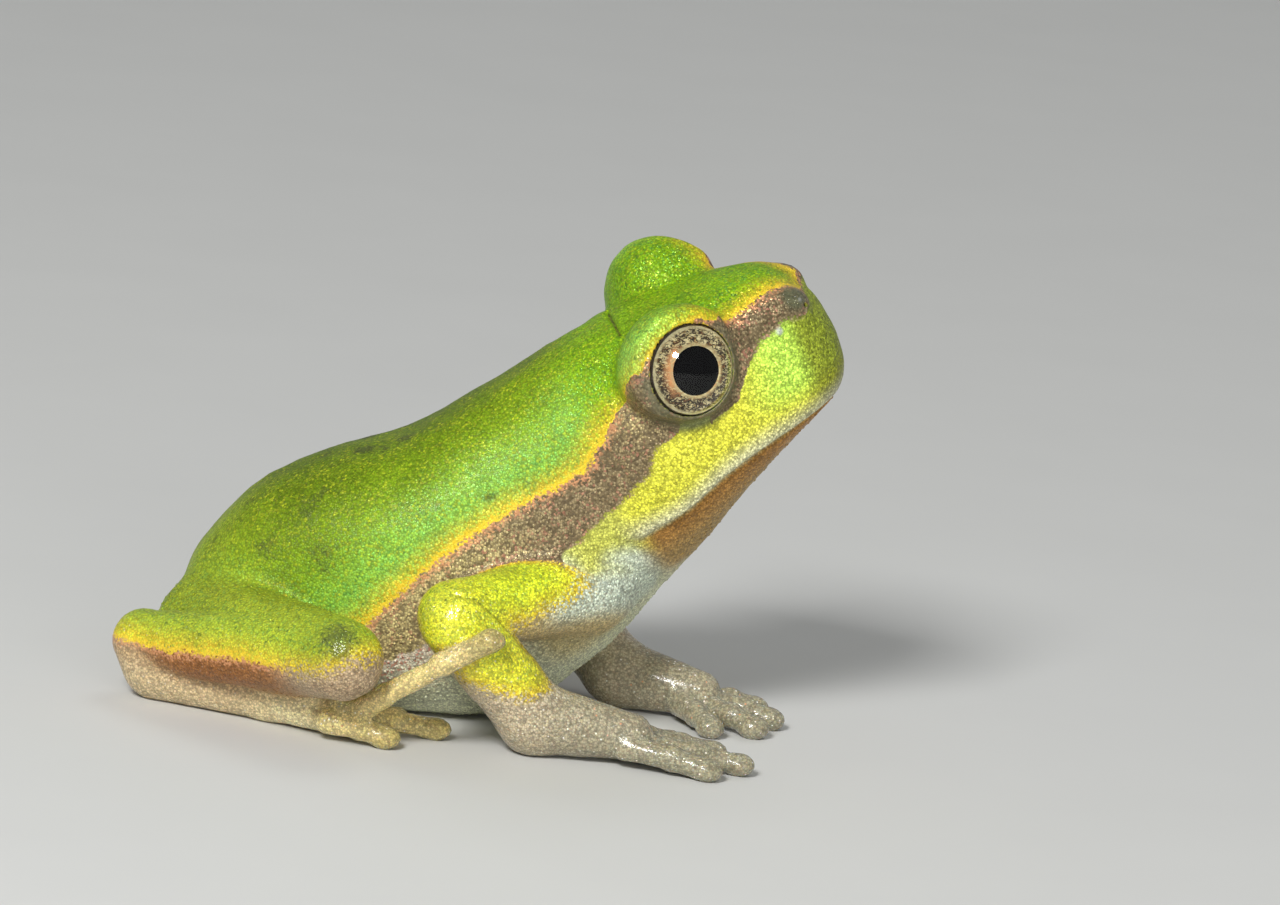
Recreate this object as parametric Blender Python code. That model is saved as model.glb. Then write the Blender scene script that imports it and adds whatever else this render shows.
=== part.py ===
"""A young tree frog, 18 mm from snout to vent, sitting up on its folded hind legs.

The whole frog is one solid form, held as a field of distances: a lofted body with its head turned a
little, and limbs of tapered rods, blended where they grow from each other. Thin cuts part it into the
head, lower jaw, eyelids, trunk and every part of each limb. +X points ahead, +Y to the frog's left and
+Z up, the floor is z = 0, and every size below is in millimetres.
"""

import math

import bmesh
import bpy
import numpy as np
import openvdb
from mathutils import Matrix

MM = 0.001  # the model's millimetres, in Blender's metres

# Meshing
WHOLE_BOX = (-11.0, -8.5, -0.3), (10.0, 8.5, 13.5)  # more than the whole frog
VOXEL_COARSE = 0.3  # grid step of the first look, which finds each part's box
BOX_MARGIN = 0.5  # room left round each part in its box
VOXEL_BODY = 0.16  # grid step of the trunk and head
VOXEL_LIMB = 0.11  # grid step of the limbs
VOXEL_TOE = 0.08  # grid step of the fingers and toes
FLOOR_SNAP = 0.03  # what ends this near the floor is set level with it
GRID_BAND = 3  # distances are kept this many grid steps from the surface
GAP = 0.2  # clear space left by each thin cut
PENALTY = 2.0  # how hard a part is kept from spreading past its own end
JOINT_YIELD = 0.45  # a limb's segment gives way to the next this far before its end
LEAST_SLOPE = 0.15  # a border that rises more slowly than this is taken to rise so

# Body axis: it rises from the vent to the snout
BODY_RISE = math.radians(27.8)
VENT_X, VENT_Z = -8.3, 1.6

# Stations along the axis: distance from the vent, back, belly, half-width, level of the widest point
STATIONS = (
    (-0.4, 0.3, -1.5, 1.4, -0.5),
    (1.5, 1.45, -2.7, 2.1, -0.7),
    (3.2, 2.25, -3.6, 2.8, -1.0),
    (4.8, 2.42, -4.48, 3.2, -1.3),
    (7.2, 2.22, -5.42, 3.4, -1.6),
    (9.7, 2.5, -5.0, 3.05, -1.3),
    (11.8, 2.9, -4.0, 2.85, -0.9),
    (13.3, 3.1, -3.15, 3.05, -0.7),
    (15.0, 3.15, -2.25, 2.75, -0.6),
    (16.5, 3.15, -1.6, 2.2, -0.3),
    (17.4, 3.0, -1.25, 1.85, 0.1),
    (18.7, 2.55, -1.05, 1.5, 0.4),
)
SQUARE_ABOVE, SQUARE_BELOW = 2.5, 2.2  # how square the section is above and below its widest level
RUMP_START, RUMP_END = 1.6, 0.15  # the rump rounds off between these
SNOUT_START, SNOUT_END = 17.0, 18.6  # and the snout between these
SNOUT_BLUNT, RUMP_BLUNT = 2.6, 2.0
ROUND_SHARE = 0.8  # brings the section's own measure close to a true distance

JAW_START, JAW_FULL = 11.5, 13.5  # the lower jaw draws in behind the lip between these

# The head is turned on the neck
NECK_START, NECK_END = 11.0, 14.0
PIVOT_S, PIVOT_T = 11.8, -0.3
HEAD_YAW, HEAD_ROLL = math.radians(1.0), math.radians(13.0)

# Head, in its own frame: along the axis, out from the middle, above the axis
NECK_CUT = 12.1  # the cut between trunk and head
EYE = (14.82, 2.42, 2.25)
EYE_RADIUS = 1.28
EYE_FORWARD, EYE_UP = math.radians(27.0), math.radians(6.0)  # where the eye looks, from straight sideways
EYE_AXIS = (
    math.sin(EYE_FORWARD) * math.cos(EYE_UP),
    math.cos(EYE_FORWARD) * math.cos(EYE_UP),
    math.sin(EYE_UP),
)
SOCKET_GAP = 0.1
LID_RADIUS, LID_UNDER = 1.62, 1.36  # the eye dome's radius over the eye and under it
LID_TURN, LID_SLANT = (-0.9, 0.5), 0.35  # where one runs into the other, and how that leans back
LID_RIM = 0.5  # the lids end this far out from the eye's centre
LID_MARGIN = 0.1  # the eyelid's own piece starts this far above the eye's centre
MOUTH = ((12.2, -1.9), (15.0, -0.85), (18.3, -0.7))  # the line of the mouth, from its corner
JAW_INSET, LIP = 0.2, 0.15  # the lower jaw lies this far inside the upper lip, and half the lip's height
CANTHUS = ((15.6, 1.7, 2.75), (17.7, 0.8, 2.5), 0.42)  # ridge from the eye to the nostril
NOSTRIL = (17.9, 0.78, 2.0, 0.36)

# How softly forms run into each other
HEAD_BLEND = 0.45  # eye domes and ridges into the head
LID_BLEND = 0.2  # the edge of the eyelids
NOSTRIL_BLEND = 0.25
LIMB_BLEND = 0.3  # one segment of a limb into the next
DIGIT_BLEND = 0.12  # a finger or toe into the hand or foot
ROOT_BLEND = 0.7  # a limb into the body where it grows from it
TOUCH_BLEND = 0.06  # a limb against the body where it only touches
ROOT_REACH = 3.0  # how far from the shoulder or hip the limb still grows from the body


def rise(x, z):
    """Turns upright coordinates into distance along the body axis and height above it."""
    c, s = math.cos(BODY_RISE), math.sin(BODY_RISE)
    return c * (x - VENT_X) + s * (z - VENT_Z), -s * (x - VENT_X) + c * (z - VENT_Z)


def smooth_step(v, low, high):
    u = np.clip((v - low) / (high - low), 0.0, 1.0)
    return u * u * (3.0 - 2.0 * u)


def smooth_min(a, b, k):
    h = np.clip(0.5 + 0.5 * (b - a) / k, 0.0, 1.0)
    return b * (1.0 - h) + a * h - k * h * (1.0 - h)


def smooth_max(a, b, k):
    return -smooth_min(-a, -b, k)


def through(v, xs, ys):
    """A smooth curve through the points xs, ys, with slopes taken from their neighbours."""
    xs, ys = np.asarray(xs, float), np.asarray(ys, float)
    slope = np.gradient(ys, xs)
    i = np.clip(np.searchsorted(xs, v) - 1, 0, len(xs) - 2)
    width = xs[i + 1] - xs[i]
    u = np.clip((v - xs[i]) / width, 0.0, 1.0)
    return (
        (2 * u**3 - 3 * u**2 + 1) * ys[i]
        + (u**3 - 2 * u**2 + u) * width * slope[i]
        + (3 * u**2 - 2 * u**3) * ys[i + 1]
        + (u**3 - u**2) * width * slope[i + 1]
    )


def head_frame(x, y, z):
    """Distance along the axis, sideways and above it, with the turn of the head undone."""
    s, t = rise(x, z)
    amount = smooth_step(s, NECK_START, NECK_END)
    yaw, roll = HEAD_YAW * amount, HEAD_ROLL * amount
    ds = s - PIVOT_S
    s, y = PIVOT_S + ds * np.cos(yaw) + y * np.sin(yaw), y * np.cos(yaw) - ds * np.sin(yaw)
    dt = t - PIVOT_T
    t, y = PIVOT_T + dt * np.cos(roll) - y * np.sin(roll), y * np.cos(roll) + dt * np.sin(roll)
    return s, y, t


# Limbs: each point is (ahead, out to its own side, up). The frog's two sides differ a little in pose.
RIGHT, LEFT = "right", "left"
SIDES = {RIGHT: -1.0, LEFT: 1.0}
SHOULDER = (2.4, 2.1, 3.9)
HIP = {RIGHT: (-7.25, 1.45, 1.65), LEFT: (-6.7, 1.2, 1.6)}
ELBOW = {RIGHT: (-0.95, 4.6, 3.4), LEFT: (0.5, 4.3, 3.1)}
WRIST = {RIGHT: (1.35, 4.2, 0.9), LEFT: (3.3, 1.8, 0.9)}
PALM = {RIGHT: (3.75, 4.2, 0.7), LEFT: (5.4, 1.2, 0.68)}
KNEE = {RIGHT: (-3.55, 6.2, 2.38), LEFT: (-2.6, 6.1, 2.35)}
HEEL = {RIGHT: (-8.75, 2.4, 1.42), LEFT: (-7.25, 2.5, 1.35)}
TARSUS_START = {RIGHT: (-8.15, 2.5, 0.8), LEFT: (-7.0, 2.6, 0.8)}
TARSUS_END = {RIGHT: (-5.3, 3.7, 0.6), LEFT: (-4.5, 3.7, 0.6)}
SOLE_END = {RIGHT: (-3.5, 4.7, 0.56), LEFT: (-2.7, 4.7, 0.56)}
FINGERS = {  # first knuckle and tip of each finger, on the floor
    RIGHT: (
        ((3.5, 3.6), (4.8, 2.5)),
        ((4.0, 3.9), (5.9, 3.2)),
        ((4.1, 4.3), (6.6, 4.2)),
        ((3.7, 4.7), (5.8, 5.1)),
    ),
    LEFT: (
        ((5.0, 0.7), (5.8, -0.6)),
        ((5.6, 0.8), (6.9, -0.1)),
        ((5.8, 1.2), (7.3, 1.0)),
        ((5.5, 1.6), (6.9, 2.1)),
    ),
}
TOES = {
    RIGHT: (
        ((-4.4, 3.8), (-3.2, 2.7)),
        ((-4.0, 4.1), (-2.2, 3.1)),
        ((-3.6, 4.4), (-1.1, 3.8)),
        ((-3.4, 4.8), (0.05, 5.65)),
        ((-3.8, 5.1), (-2.3, 5.3)),
    ),
    LEFT: (
        ((-3.6, 3.8), (-2.4, 2.7)),
        ((-3.2, 4.1), (-1.4, 3.1)),
        ((-2.8, 4.4), (-0.1, 4.1)),
        ((-2.6, 4.8), (0.8, 5.6)),
        ((-3.0, 5.1), (-1.2, 6.2)),
    ),
}
LIFTED_TOE = ((-2.45, 5.4, 1.35), (-1.1, 5.8, 2.4), (0.05, 5.85, 3.15))  # right toe 4 rests on the elbow
DIGIT_NAMES = ("1", "2", "3", "4", "5")
DIGIT_RADIUS, DIGIT_LEVEL = 0.29, 0.26
DIGIT_BASE = 1.1  # a digit is this much thicker at its knuckle
KNUCKLE_LEVEL, ARCH_LEVEL, ARCH_AT = 0.48, 0.43, 0.55  # each digit rises a little between its ends
PAD = (0.38, 0.36, 0.29)  # half-sizes of the disc on each tip

# Radii of the limbs' parts: start, end, swell in the middle
UPPER_ARM, FOREARM, HAND = (1.05, 0.93, 0.0), (0.93, 0.82, 0.05), (0.82, 0.62, 0.0)
THIGH, SHANK, TARSUS, FOOT = (1.25, 1.0, 0.12), (1.0, 0.74, 0.04), (0.84, 0.6, 0.0), (0.6, 0.5, 0.0)

# About how many triangles each part gets
TRIANGLES = {
    "trunk": 1150, "head": 1400, "lower_jaw": 340, "eyelid": 180, "upper_arm": 300, "forearm": 300,
    "hand": 290, "thigh": 340, "shank": 340, "tarsus": 240, "foot": 240, "finger": 96, "toe": 96,
}
EYE_SEGMENTS, EYE_RINGS = 16, 10

COLOURS = {
    "back": (0.25, 0.48, 0.06),
    "lime": (0.33, 0.55, 0.05),
    "cream": (0.50, 0.33, 0.10),
    "olive": (0.30, 0.42, 0.04),
    "green": (0.42, 0.56, 0.05),
    "pale": (0.52, 0.46, 0.33),
    "eye": (0.02, 0.015, 0.01),
}
SKIN_ROUGHNESS, EYE_ROUGHNESS = 0.35, 0.08


class Part:
    """One named piece: its distance field, and how far a point lies outside the part's own region."""

    def __init__(self, name, distance, outside, voxel, triangles, colour):
        self.name, self.distance, self.outside = name, distance, outside
        self.voxel, self.triangles, self.colour = voxel, triangles, colour


def rod(p, start, end, radii):
    """Distance to a tapered rod with round ends, which may swell in the middle."""
    a, b = np.array(start), np.array(end)
    along = b - a
    u = np.clip(sum((p[i] - a[i]) * along[i] for i in range(3)) / (along @ along), 0.0, 1.0)
    away = np.sqrt(sum((p[i] - a[i] - u * along[i]) ** 2 for i in range(3)))
    return away - (radii[0] + (radii[1] - radii[0]) * u + radii[2] * np.sin(math.pi * u))


def past(p, start, end):
    """How far p lies past the end of the line from start to end."""
    a, b = np.array(start), np.array(end)
    along = (b - a) / np.linalg.norm(b - a)
    return sum((p[i] - b[i]) * along[i] for i in range(3))


def ball(p, centre, radii):
    scaled = np.sqrt(sum(((p[i] - centre[i]) / radii[i]) ** 2 for i in range(3)))
    return (scaled - 1.0) * min(radii)


def mouth_level(s):
    return through(s, [m[0] for m in MOUTH], [m[1] for m in MOUTH])


def lofted_body(s, y, t):
    """The trunk and head: rounded sections whose sizes run smoothly along the axis."""
    where = [row[0] for row in STATIONS]
    back, belly, half, level = (through(s, where, [row[i] for row in STATIONS]) for i in range(1, 5))
    jaw = smooth_step(s, JAW_START, JAW_FULL) * smooth_step(mouth_level(s) - t, -LIP, LIP)
    half = half - JAW_INSET * jaw
    up = t - level
    above, below = np.abs(up / (back - level)) ** SQUARE_ABOVE, np.abs(up / (level - belly)) ** SQUARE_BELOW
    power = np.where(up > 0.0, SQUARE_ABOVE, SQUARE_BELOW)
    across = np.abs(y / half) ** power
    snout = np.clip((s - SNOUT_START) / (SNOUT_END - SNOUT_START), 0.0, None) ** SNOUT_BLUNT
    rump = np.clip((s - RUMP_START) / (RUMP_END - RUMP_START), 0.0, None) ** RUMP_BLUNT
    total = across + np.where(up > 0.0, above, below) + snout + rump
    radius = np.minimum(half, np.where(up > 0.0, back - level, level - belly))
    return (total ** (1.0 / power) - 1.0) * radius * ROUND_SHARE


def body(p):
    """The lofted body with its eye domes, ridges before the eyes, and nostrils."""
    s, y, t = head_frame(*p)
    form = lofted_body(s, y, t)
    q = (s, np.abs(y), t)
    upper = smooth_step(t - EYE[2] - LID_SLANT * (s - EYE[0]), *LID_TURN)
    dome = ball(q, EYE, (1.0,) * 3) + 1.0 - LID_UNDER - (LID_RADIUS - LID_UNDER) * upper
    rim = sum((q[i] - EYE[i]) * EYE_AXIS[i] for i in range(3)) - LID_RIM
    form = smooth_min(form, smooth_max(dome, rim, LID_BLEND), HEAD_BLEND)
    (s0, y0, t0), (s1, y1, t1), radius = CANTHUS
    ridge = rod(q, (s0, y0, t0 - radius), (s1, y1, t1 - radius), (radius, radius, 0.0))
    form = smooth_min(form, ridge, HEAD_BLEND)
    form = smooth_min(form, ball(q, NOSTRIL[:3], (NOSTRIL[3],) * 3), NOSTRIL_BLEND)
    return form


def side_point(point, side):
    return point[0], point[1] * SIDES[side], point[2]


def digit_path(side, knuckle, tip, number, hind):
    if hind and side == RIGHT and number == "4":
        points = [(*knuckle, KNUCKLE_LEVEL), *LIFTED_TOE]
    else:
        middle = [a + (b - a) * ARCH_AT for a, b in zip(knuckle, tip)]
        points = [(*knuckle, KNUCKLE_LEVEL), (*middle, ARCH_LEVEL), (*tip, DIGIT_LEVEL)]
    return [side_point(point, side) for point in points]


def digit(path):
    radii = (DIGIT_RADIUS, DIGIT_RADIUS, 0.0)

    def distance(p):
        form = rod(p, path[0], path[1], (DIGIT_RADIUS * DIGIT_BASE, DIGIT_RADIUS, 0.0))
        for a, b in zip(path[1:], path[2:]):
            form = smooth_min(form, rod(p, a, b, radii), DIGIT_BLEND)
        return smooth_min(form, ball(p, path[-1], PAD), DIGIT_BLEND)

    return distance


def limb_parts():
    """Every part of the four limbs, as chains that blend together and then onto the body."""
    chains = []
    for side in (LEFT, RIGHT):
        at = {
            name: side_point(point, side)
            for name, point in (
                ("shoulder", SHOULDER), ("elbow", ELBOW[side]), ("wrist", WRIST[side]), ("palm", PALM[side]),
                ("hip", HIP[side]), ("knee", KNEE[side]), ("heel", HEEL[side]),
                ("tarsus", TARSUS_START[side]), ("ankle", TARSUS_END[side]), ("sole", SOLE_END[side]),
            )
        }
        arm = (
            ("upper_arm", "shoulder", "elbow", UPPER_ARM, "green"),
            ("forearm", "elbow", "wrist", FOREARM, "green"),
            ("hand", "wrist", "palm", HAND, "pale"),
        )
        leg = (
            ("thigh", "hip", "knee", THIGH, "olive"),
            ("shank", "knee", "heel", SHANK, "green"),
            ("tarsus", "tarsus", "ankle", TARSUS, "pale"),
            ("foot", "ankle", "sole", FOOT, "pale"),
        )
        fore, hind = (arm, FINGERS[side], "shoulder", "finger"), (leg, TOES[side], "hip", "toe")
        for rods, tips, root, kind in (fore, hind):
            chain, before = [], None
            for name, start, end, radii, colour in rods:
                def distance(p, a=at[start], b=at[end], r=radii):
                    return rod(p, a, b, r)

                def outside(p, a=at[start], b=at[end], other=before):
                    # Round a bent joint, the outer side belongs to the segment that starts there
                    over = past(p, a, b) + JOINT_YIELD
                    if other is None:
                        return over
                    return np.maximum(over, np.minimum(past(p, b, a), -past(p, *other) - JOINT_YIELD))

                before = at[start], at[end]
                triangles = TRIANGLES[name]
                chain.append(Part(f"{name}_{side}", distance, outside, VOXEL_LIMB, triangles, colour))
            for number, (knuckle, tip) in zip(DIGIT_NAMES, tips):
                path = digit_path(side, knuckle, tip, number, kind == "toe")

                def short(p, a=path[1], b=path[0]):
                    return past(p, a, b)

                name = f"{kind}_{number}_{side}"
                chain.append(Part(name, digit(path), short, VOXEL_TOE, TRIANGLES[kind], "pale"))
            chains.append((at[root], chain))
    return chains


def eye_centre(side):
    return EYE[0], EYE[1] * SIDES[side], EYE[2]


def body_parts():
    """The head, lower jaw, eyelids and trunk: one form, parted by regions."""
    def mouth_over(s, t):
        return t - mouth_level(s)

    def lid_region(s, y, t, side):
        centre = eye_centre(side)
        ring = np.sqrt((s - centre[0]) ** 2 + (y - centre[1]) ** 2 + (t - centre[2]) ** 2)
        return np.maximum(ring - LID_RADIUS - LID_MARGIN, centre[2] + LID_MARGIN - t)

    def trunk(p):
        s, y, t = head_frame(*p)
        return s - NECK_CUT

    def lower_jaw(p):
        s, y, t = head_frame(*p)
        return np.maximum(NECK_CUT - s, mouth_over(s, t))

    def head(p):
        s, y, t = head_frame(*p)
        lids = np.minimum(lid_region(s, y, t, LEFT), lid_region(s, y, t, RIGHT))
        return np.maximum(np.maximum(NECK_CUT - s, -mouth_over(s, t)), -lids)

    def lid(side):
        def region(p):
            return lid_region(*head_frame(*p), side)
        return region

    return [
        Part("trunk", body, trunk, VOXEL_BODY, TRIANGLES["trunk"], "back"),
        Part("head", body, head, VOXEL_LIMB, TRIANGLES["head"], "lime"),
        Part("lower_jaw", body, lower_jaw, VOXEL_LIMB, TRIANGLES["lower_jaw"], "cream"),
        Part("eyelid_left", body, lid(LEFT), VOXEL_TOE, TRIANGLES["eyelid"], "lime"),
        Part("eyelid_right", body, lid(RIGHT), VOXEL_TOE, TRIANGLES["eyelid"], "lime"),
    ]


def whole_form(p, core, chains, distances):
    """The frog in one piece: limbs blend with the body only where they grow from it."""
    form = distances[core[0].name]
    for root, chain in chains:
        limb = distances[chain[0].name]
        for part in chain[1:]:
            softness = DIGIT_BLEND if part.voxel == VOXEL_TOE else LIMB_BLEND
            limb = smooth_min(limb, distances[part.name], softness)
        near = np.exp(-sum((p[i] - root[i]) ** 2 for i in range(3)) / ROOT_REACH**2)
        form = smooth_min(form, limb, TOUCH_BLEND + (ROOT_BLEND - TOUCH_BLEND) * near)
    s, y, t = head_frame(*p)
    socket = ball((s, np.abs(y), t), EYE, (EYE_RADIUS + SOCKET_GAP,) * 3)
    return np.maximum(np.maximum(form, -socket), -p[2])


def fields(p, core, chains):
    """The whole form at p, and each part's own field: the lowest of these says whose the point is."""
    shared = body(p)
    parts = list(core) + [part for _, chain in chains for part in chain]
    distances = {part.name: shared if part in core else part.distance(p) for part in parts}
    claims = [distances[part.name] + PENALTY * np.maximum(part.outside(p), 0.0) for part in parts]
    return whole_form(p, core, chains, distances), claims


def lattice(low, high, step):
    """Grid points from low to high, counted in whole steps from the origin."""
    first = np.floor(np.array(low) / step).astype(int)
    last = np.ceil(np.array(high) / step).astype(int)
    axes = [np.arange(a, b + 1) * step for a, b in zip(first, last)]
    return first, np.meshgrid(*axes, indexing="ij")


def part_boxes(core, chains):
    """A box round each part, from a coarse look at the whole frog."""
    step = VOXEL_COARSE
    first, p = lattice(*WHOLE_BOX, step)
    form, claims = fields(p, core, chains)
    owner = np.argmin(np.stack(claims), axis=0)
    boxes = []
    for i in range(len(claims)):
        inside = np.argwhere((owner == i) & (form < step * 0.5))
        low, high = (inside.min(0) + first) * step, (inside.max(0) + first) * step
        boxes.append((low - BOX_MARGIN, high + BOX_MARGIN))
    return boxes


def part_field(index, part, box, core, chains):
    """The part's piece of the frog: the whole form, less a thin cut along its borders."""
    first, p = lattice(*box, part.voxel)
    form, claims = fields(p, core, chains)
    others = np.min(np.stack([c for i, c in enumerate(claims) if i != index]), axis=0)
    border = claims[index] - others
    slope = np.sqrt(sum(g**2 for g in np.gradient(border, part.voxel)))
    border = border / np.maximum(slope, LEAST_SLOPE) + GAP / 2.0
    field = np.maximum(form, border)
    edge = np.ones(field.shape, bool)
    edge[1:-1, 1:-1, 1:-1] = False
    field[edge] = np.maximum(field[edge], part.voxel)
    return first, field


def mesh_from_field(name, first, field, step):
    band = GRID_BAND * step
    grid = openvdb.FloatGrid(band)
    grid.copyFromArray(np.clip(field, -band, band).astype(np.float32), tuple(int(i) for i in first))
    points, triangles, quads = grid.convertToPolygons(0.0, 0.0)
    mesh = bpy.data.meshes.new(name)
    faces = [list(map(int, f)) for f in (*quads, *triangles)]
    mesh.from_pydata((points * step * MM).tolist(), [], faces)
    work = bmesh.new()
    work.from_mesh(mesh)
    keep_largest(work)
    bmesh.ops.recalc_face_normals(work, faces=work.faces)
    bmesh.ops.triangulate(work, faces=work.faces)
    work.to_mesh(mesh)
    work.free()
    return mesh


def keep_largest(work):
    """Leaves only the biggest of the separate bodies."""
    unseen, islands = set(work.verts), []
    while unseen:
        stack, island = [unseen.pop()], []
        while stack:
            vertex = stack.pop()
            island.append(vertex)
            for edge in vertex.link_edges:
                other = edge.other_vert(vertex)
                if other in unseen:
                    unseen.remove(other)
                    stack.append(other)
        islands.append(island)
    islands.sort(key=len)
    for island in islands[:-1]:
        bmesh.ops.delete(work, geom=island, context="VERTS")


def material(name, colour, roughness):
    made = bpy.data.materials.new(name)
    made.use_nodes = True
    shader = made.node_tree.nodes["Principled BSDF"]
    shader.inputs["Base Color"].default_value = (*COLOURS[colour], 1.0)
    shader.inputs["Roughness"].default_value = roughness
    shader.inputs["Metallic"].default_value = 0.0
    return made


def add_object(name, mesh, colour, roughness, collection):
    mesh.materials.append(material(name, colour, roughness))
    mesh.shade_smooth()
    thing = bpy.data.objects.new(name, mesh)
    collection.objects.link(thing)
    return thing


def thin_to(thing, triangles):
    """Collapses the mesh to about this many triangles, and sets what stands on the floor level with it."""
    fewer = thing.modifiers.new("Fewer faces", "DECIMATE")
    fewer.ratio = min(1.0, triangles / len(thing.data.polygons))
    mesh = bpy.data.meshes.new_from_object(thing.evaluated_get(bpy.context.evaluated_depsgraph_get()))
    thing.modifiers.remove(fewer)
    for vertex in mesh.vertices:
        if vertex.co.z < FLOOR_SNAP * MM:
            vertex.co.z = 0.0
    thing.data = mesh


def add_eye(side, collection):
    s, y, t = eye_centre(side)
    mesh = bpy.data.meshes.new(f"eye_{side}")
    work = bmesh.new()
    bmesh.ops.create_uvsphere(
        work, u_segments=EYE_SEGMENTS, v_segments=EYE_RINGS, radius=EYE_RADIUS * MM
    )
    bmesh.ops.translate(work, verts=work.verts, vec=[v * MM for v in world_from_head(s, y, t)])
    bmesh.ops.triangulate(work, faces=work.faces)
    work.to_mesh(mesh)
    work.free()
    return add_object(f"eye_{side}", mesh, "eye", EYE_ROUGHNESS, collection)


def world_from_head(s, y, t):
    """Where a point of the head's own frame lies in the upright frame."""
    c, n = math.cos(HEAD_ROLL), math.sin(HEAD_ROLL)
    dt = t - PIVOT_T
    t, y = PIVOT_T + dt * c + y * n, y * c - dt * n
    c, n = math.cos(HEAD_YAW), math.sin(HEAD_YAW)
    ds = s - PIVOT_S
    s, y = PIVOT_S + ds * c - y * n, y * c + ds * n
    c, n = math.cos(BODY_RISE), math.sin(BODY_RISE)
    return VENT_X + c * s - n * t, y, VENT_Z + n * s + c * t


def main():
    for thing in list(bpy.data.objects):
        bpy.data.objects.remove(thing, do_unlink=True)
    frog = bpy.data.collections.new("tree_frog")
    bpy.context.scene.collection.children.link(frog)

    core, chains = body_parts(), limb_parts()
    parts = core + [part for _, chain in chains for part in chain]
    made = []
    for index, (part, box) in enumerate(zip(parts, part_boxes(core, chains))):
        first, field = part_field(index, part, box, core, chains)
        mesh = mesh_from_field(part.name, first, field, part.voxel)
        thing = add_object(part.name, mesh, part.colour, SKIN_ROUGHNESS, frog)
        thin_to(thing, part.triangles)
        made.append(thing)
    made += [add_eye(side, frog) for side in (LEFT, RIGHT)]

    corners = np.array([vertex.co for thing in made for vertex in thing.data.vertices])
    middle = (corners.min(0) + corners.max(0)) / 2.0
    for thing in made:
        thing.data.transform(Matrix.Translation((-middle[0], -middle[1], 0.0)))


main()
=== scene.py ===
import math
import time

import bpy
import numpy as np
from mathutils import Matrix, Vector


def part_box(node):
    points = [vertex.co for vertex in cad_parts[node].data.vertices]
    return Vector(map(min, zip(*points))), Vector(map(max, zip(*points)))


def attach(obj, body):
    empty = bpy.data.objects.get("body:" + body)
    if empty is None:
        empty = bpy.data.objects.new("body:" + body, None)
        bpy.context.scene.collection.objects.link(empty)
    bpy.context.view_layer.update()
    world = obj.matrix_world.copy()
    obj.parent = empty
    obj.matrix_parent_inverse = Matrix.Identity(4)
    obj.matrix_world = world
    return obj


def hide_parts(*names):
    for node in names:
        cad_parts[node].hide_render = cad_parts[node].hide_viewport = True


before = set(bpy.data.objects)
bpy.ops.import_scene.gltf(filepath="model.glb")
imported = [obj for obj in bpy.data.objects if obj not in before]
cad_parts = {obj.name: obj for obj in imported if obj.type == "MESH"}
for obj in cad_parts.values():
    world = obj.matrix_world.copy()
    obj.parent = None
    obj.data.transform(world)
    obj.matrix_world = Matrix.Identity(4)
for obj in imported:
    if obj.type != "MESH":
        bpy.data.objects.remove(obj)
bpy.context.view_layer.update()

import openvdb
from mathutils import Matrix, Vector

# A young tree frog, 18 mm long, sitting up. Every size is in millimetres until it becomes a mesh.
mm = 0.001
startedAt = time.time()


def say(stage):
    print(f"[frog] {time.time() - startedAt:5.1f} s  {stage}")


def putIn(name, data):
    thing = bpy.data.objects.new(name, data)
    bpy.context.scene.collection.objects.link(thing)
    return thing


def withModifiers(thing, name):
    # its mesh, with every modifier applied
    mesh = bpy.data.meshes.new_from_object(thing.evaluated_get(bpy.context.evaluated_depsgraph_get()))
    thing.modifiers.clear()
    thing.data = mesh
    mesh.name = name
    return mesh


# the body: sections along an axis that rises from the vent to the snout
trunk = {
    "rise": 27.8,                  # degrees
    "vent": (-8.3, 1.6),           # x and z
    # distance from the vent, back, belly, half-width, level of the widest point
    "stations": (
        (-0.4, 0.3, -1.5, 1.4, -0.5),
        (1.5, 1.45, -2.7, 2.1, -0.7),
        (3.2, 2.25, -3.6, 2.8, -1.0),
        (4.8, 2.42, -4.48, 3.2, -1.3),
        (7.2, 2.22, -5.42, 3.4, -1.6),
        (9.7, 2.5, -5.0, 3.05, -1.3),
        (11.8, 2.9, -4.07, 2.85, -0.9),
        (13.3, 3.1, -3.27, 3.05, -0.7),
        (15.0, 3.15, -2.22, 2.75, -0.6),
        (16.5, 3.15, -1.48, 2.2, -0.3),
        (17.4, 3.0, -1.14, 1.85, 0.1),
        (18.7, 2.55, -1.0, 1.5, 0.4),
    ),
    "squareAbove": 2.5,
    "squareBelow": 2.2,
    "rump": (1.6, 0.15, 2.0),      # starts, ends, bluntness
    "snout": (17.0, 18.6, 2.6),
    "roundShare": 0.8,
}

neck = {
    "from": 11.0,
    "to": 14.0,
    "pivot": (11.8, -0.3),
    "yaw": 1.0,                    # degrees
    "roll": 13.0,
    "jawFrom": 11.5,               # the lower jaw draws in behind the lip between these
    "jawTo": 13.5,
    "jawInset": 0.23,
    "lip": 0.09,
}

eye = {
    "centre": (14.82, 2.42, 2.25),
    "radius": 1.28,
    "forward": 27.0,               # degrees from straight sideways
    "up": 6.0,
    "socket": 1.285,               # the skin closes on the ball this far out
}
forward, lift = math.radians(eye["forward"]), math.radians(eye["up"])
gaze = (math.sin(forward) * math.cos(lift), math.cos(forward) * math.cos(lift), math.sin(lift))

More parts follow.
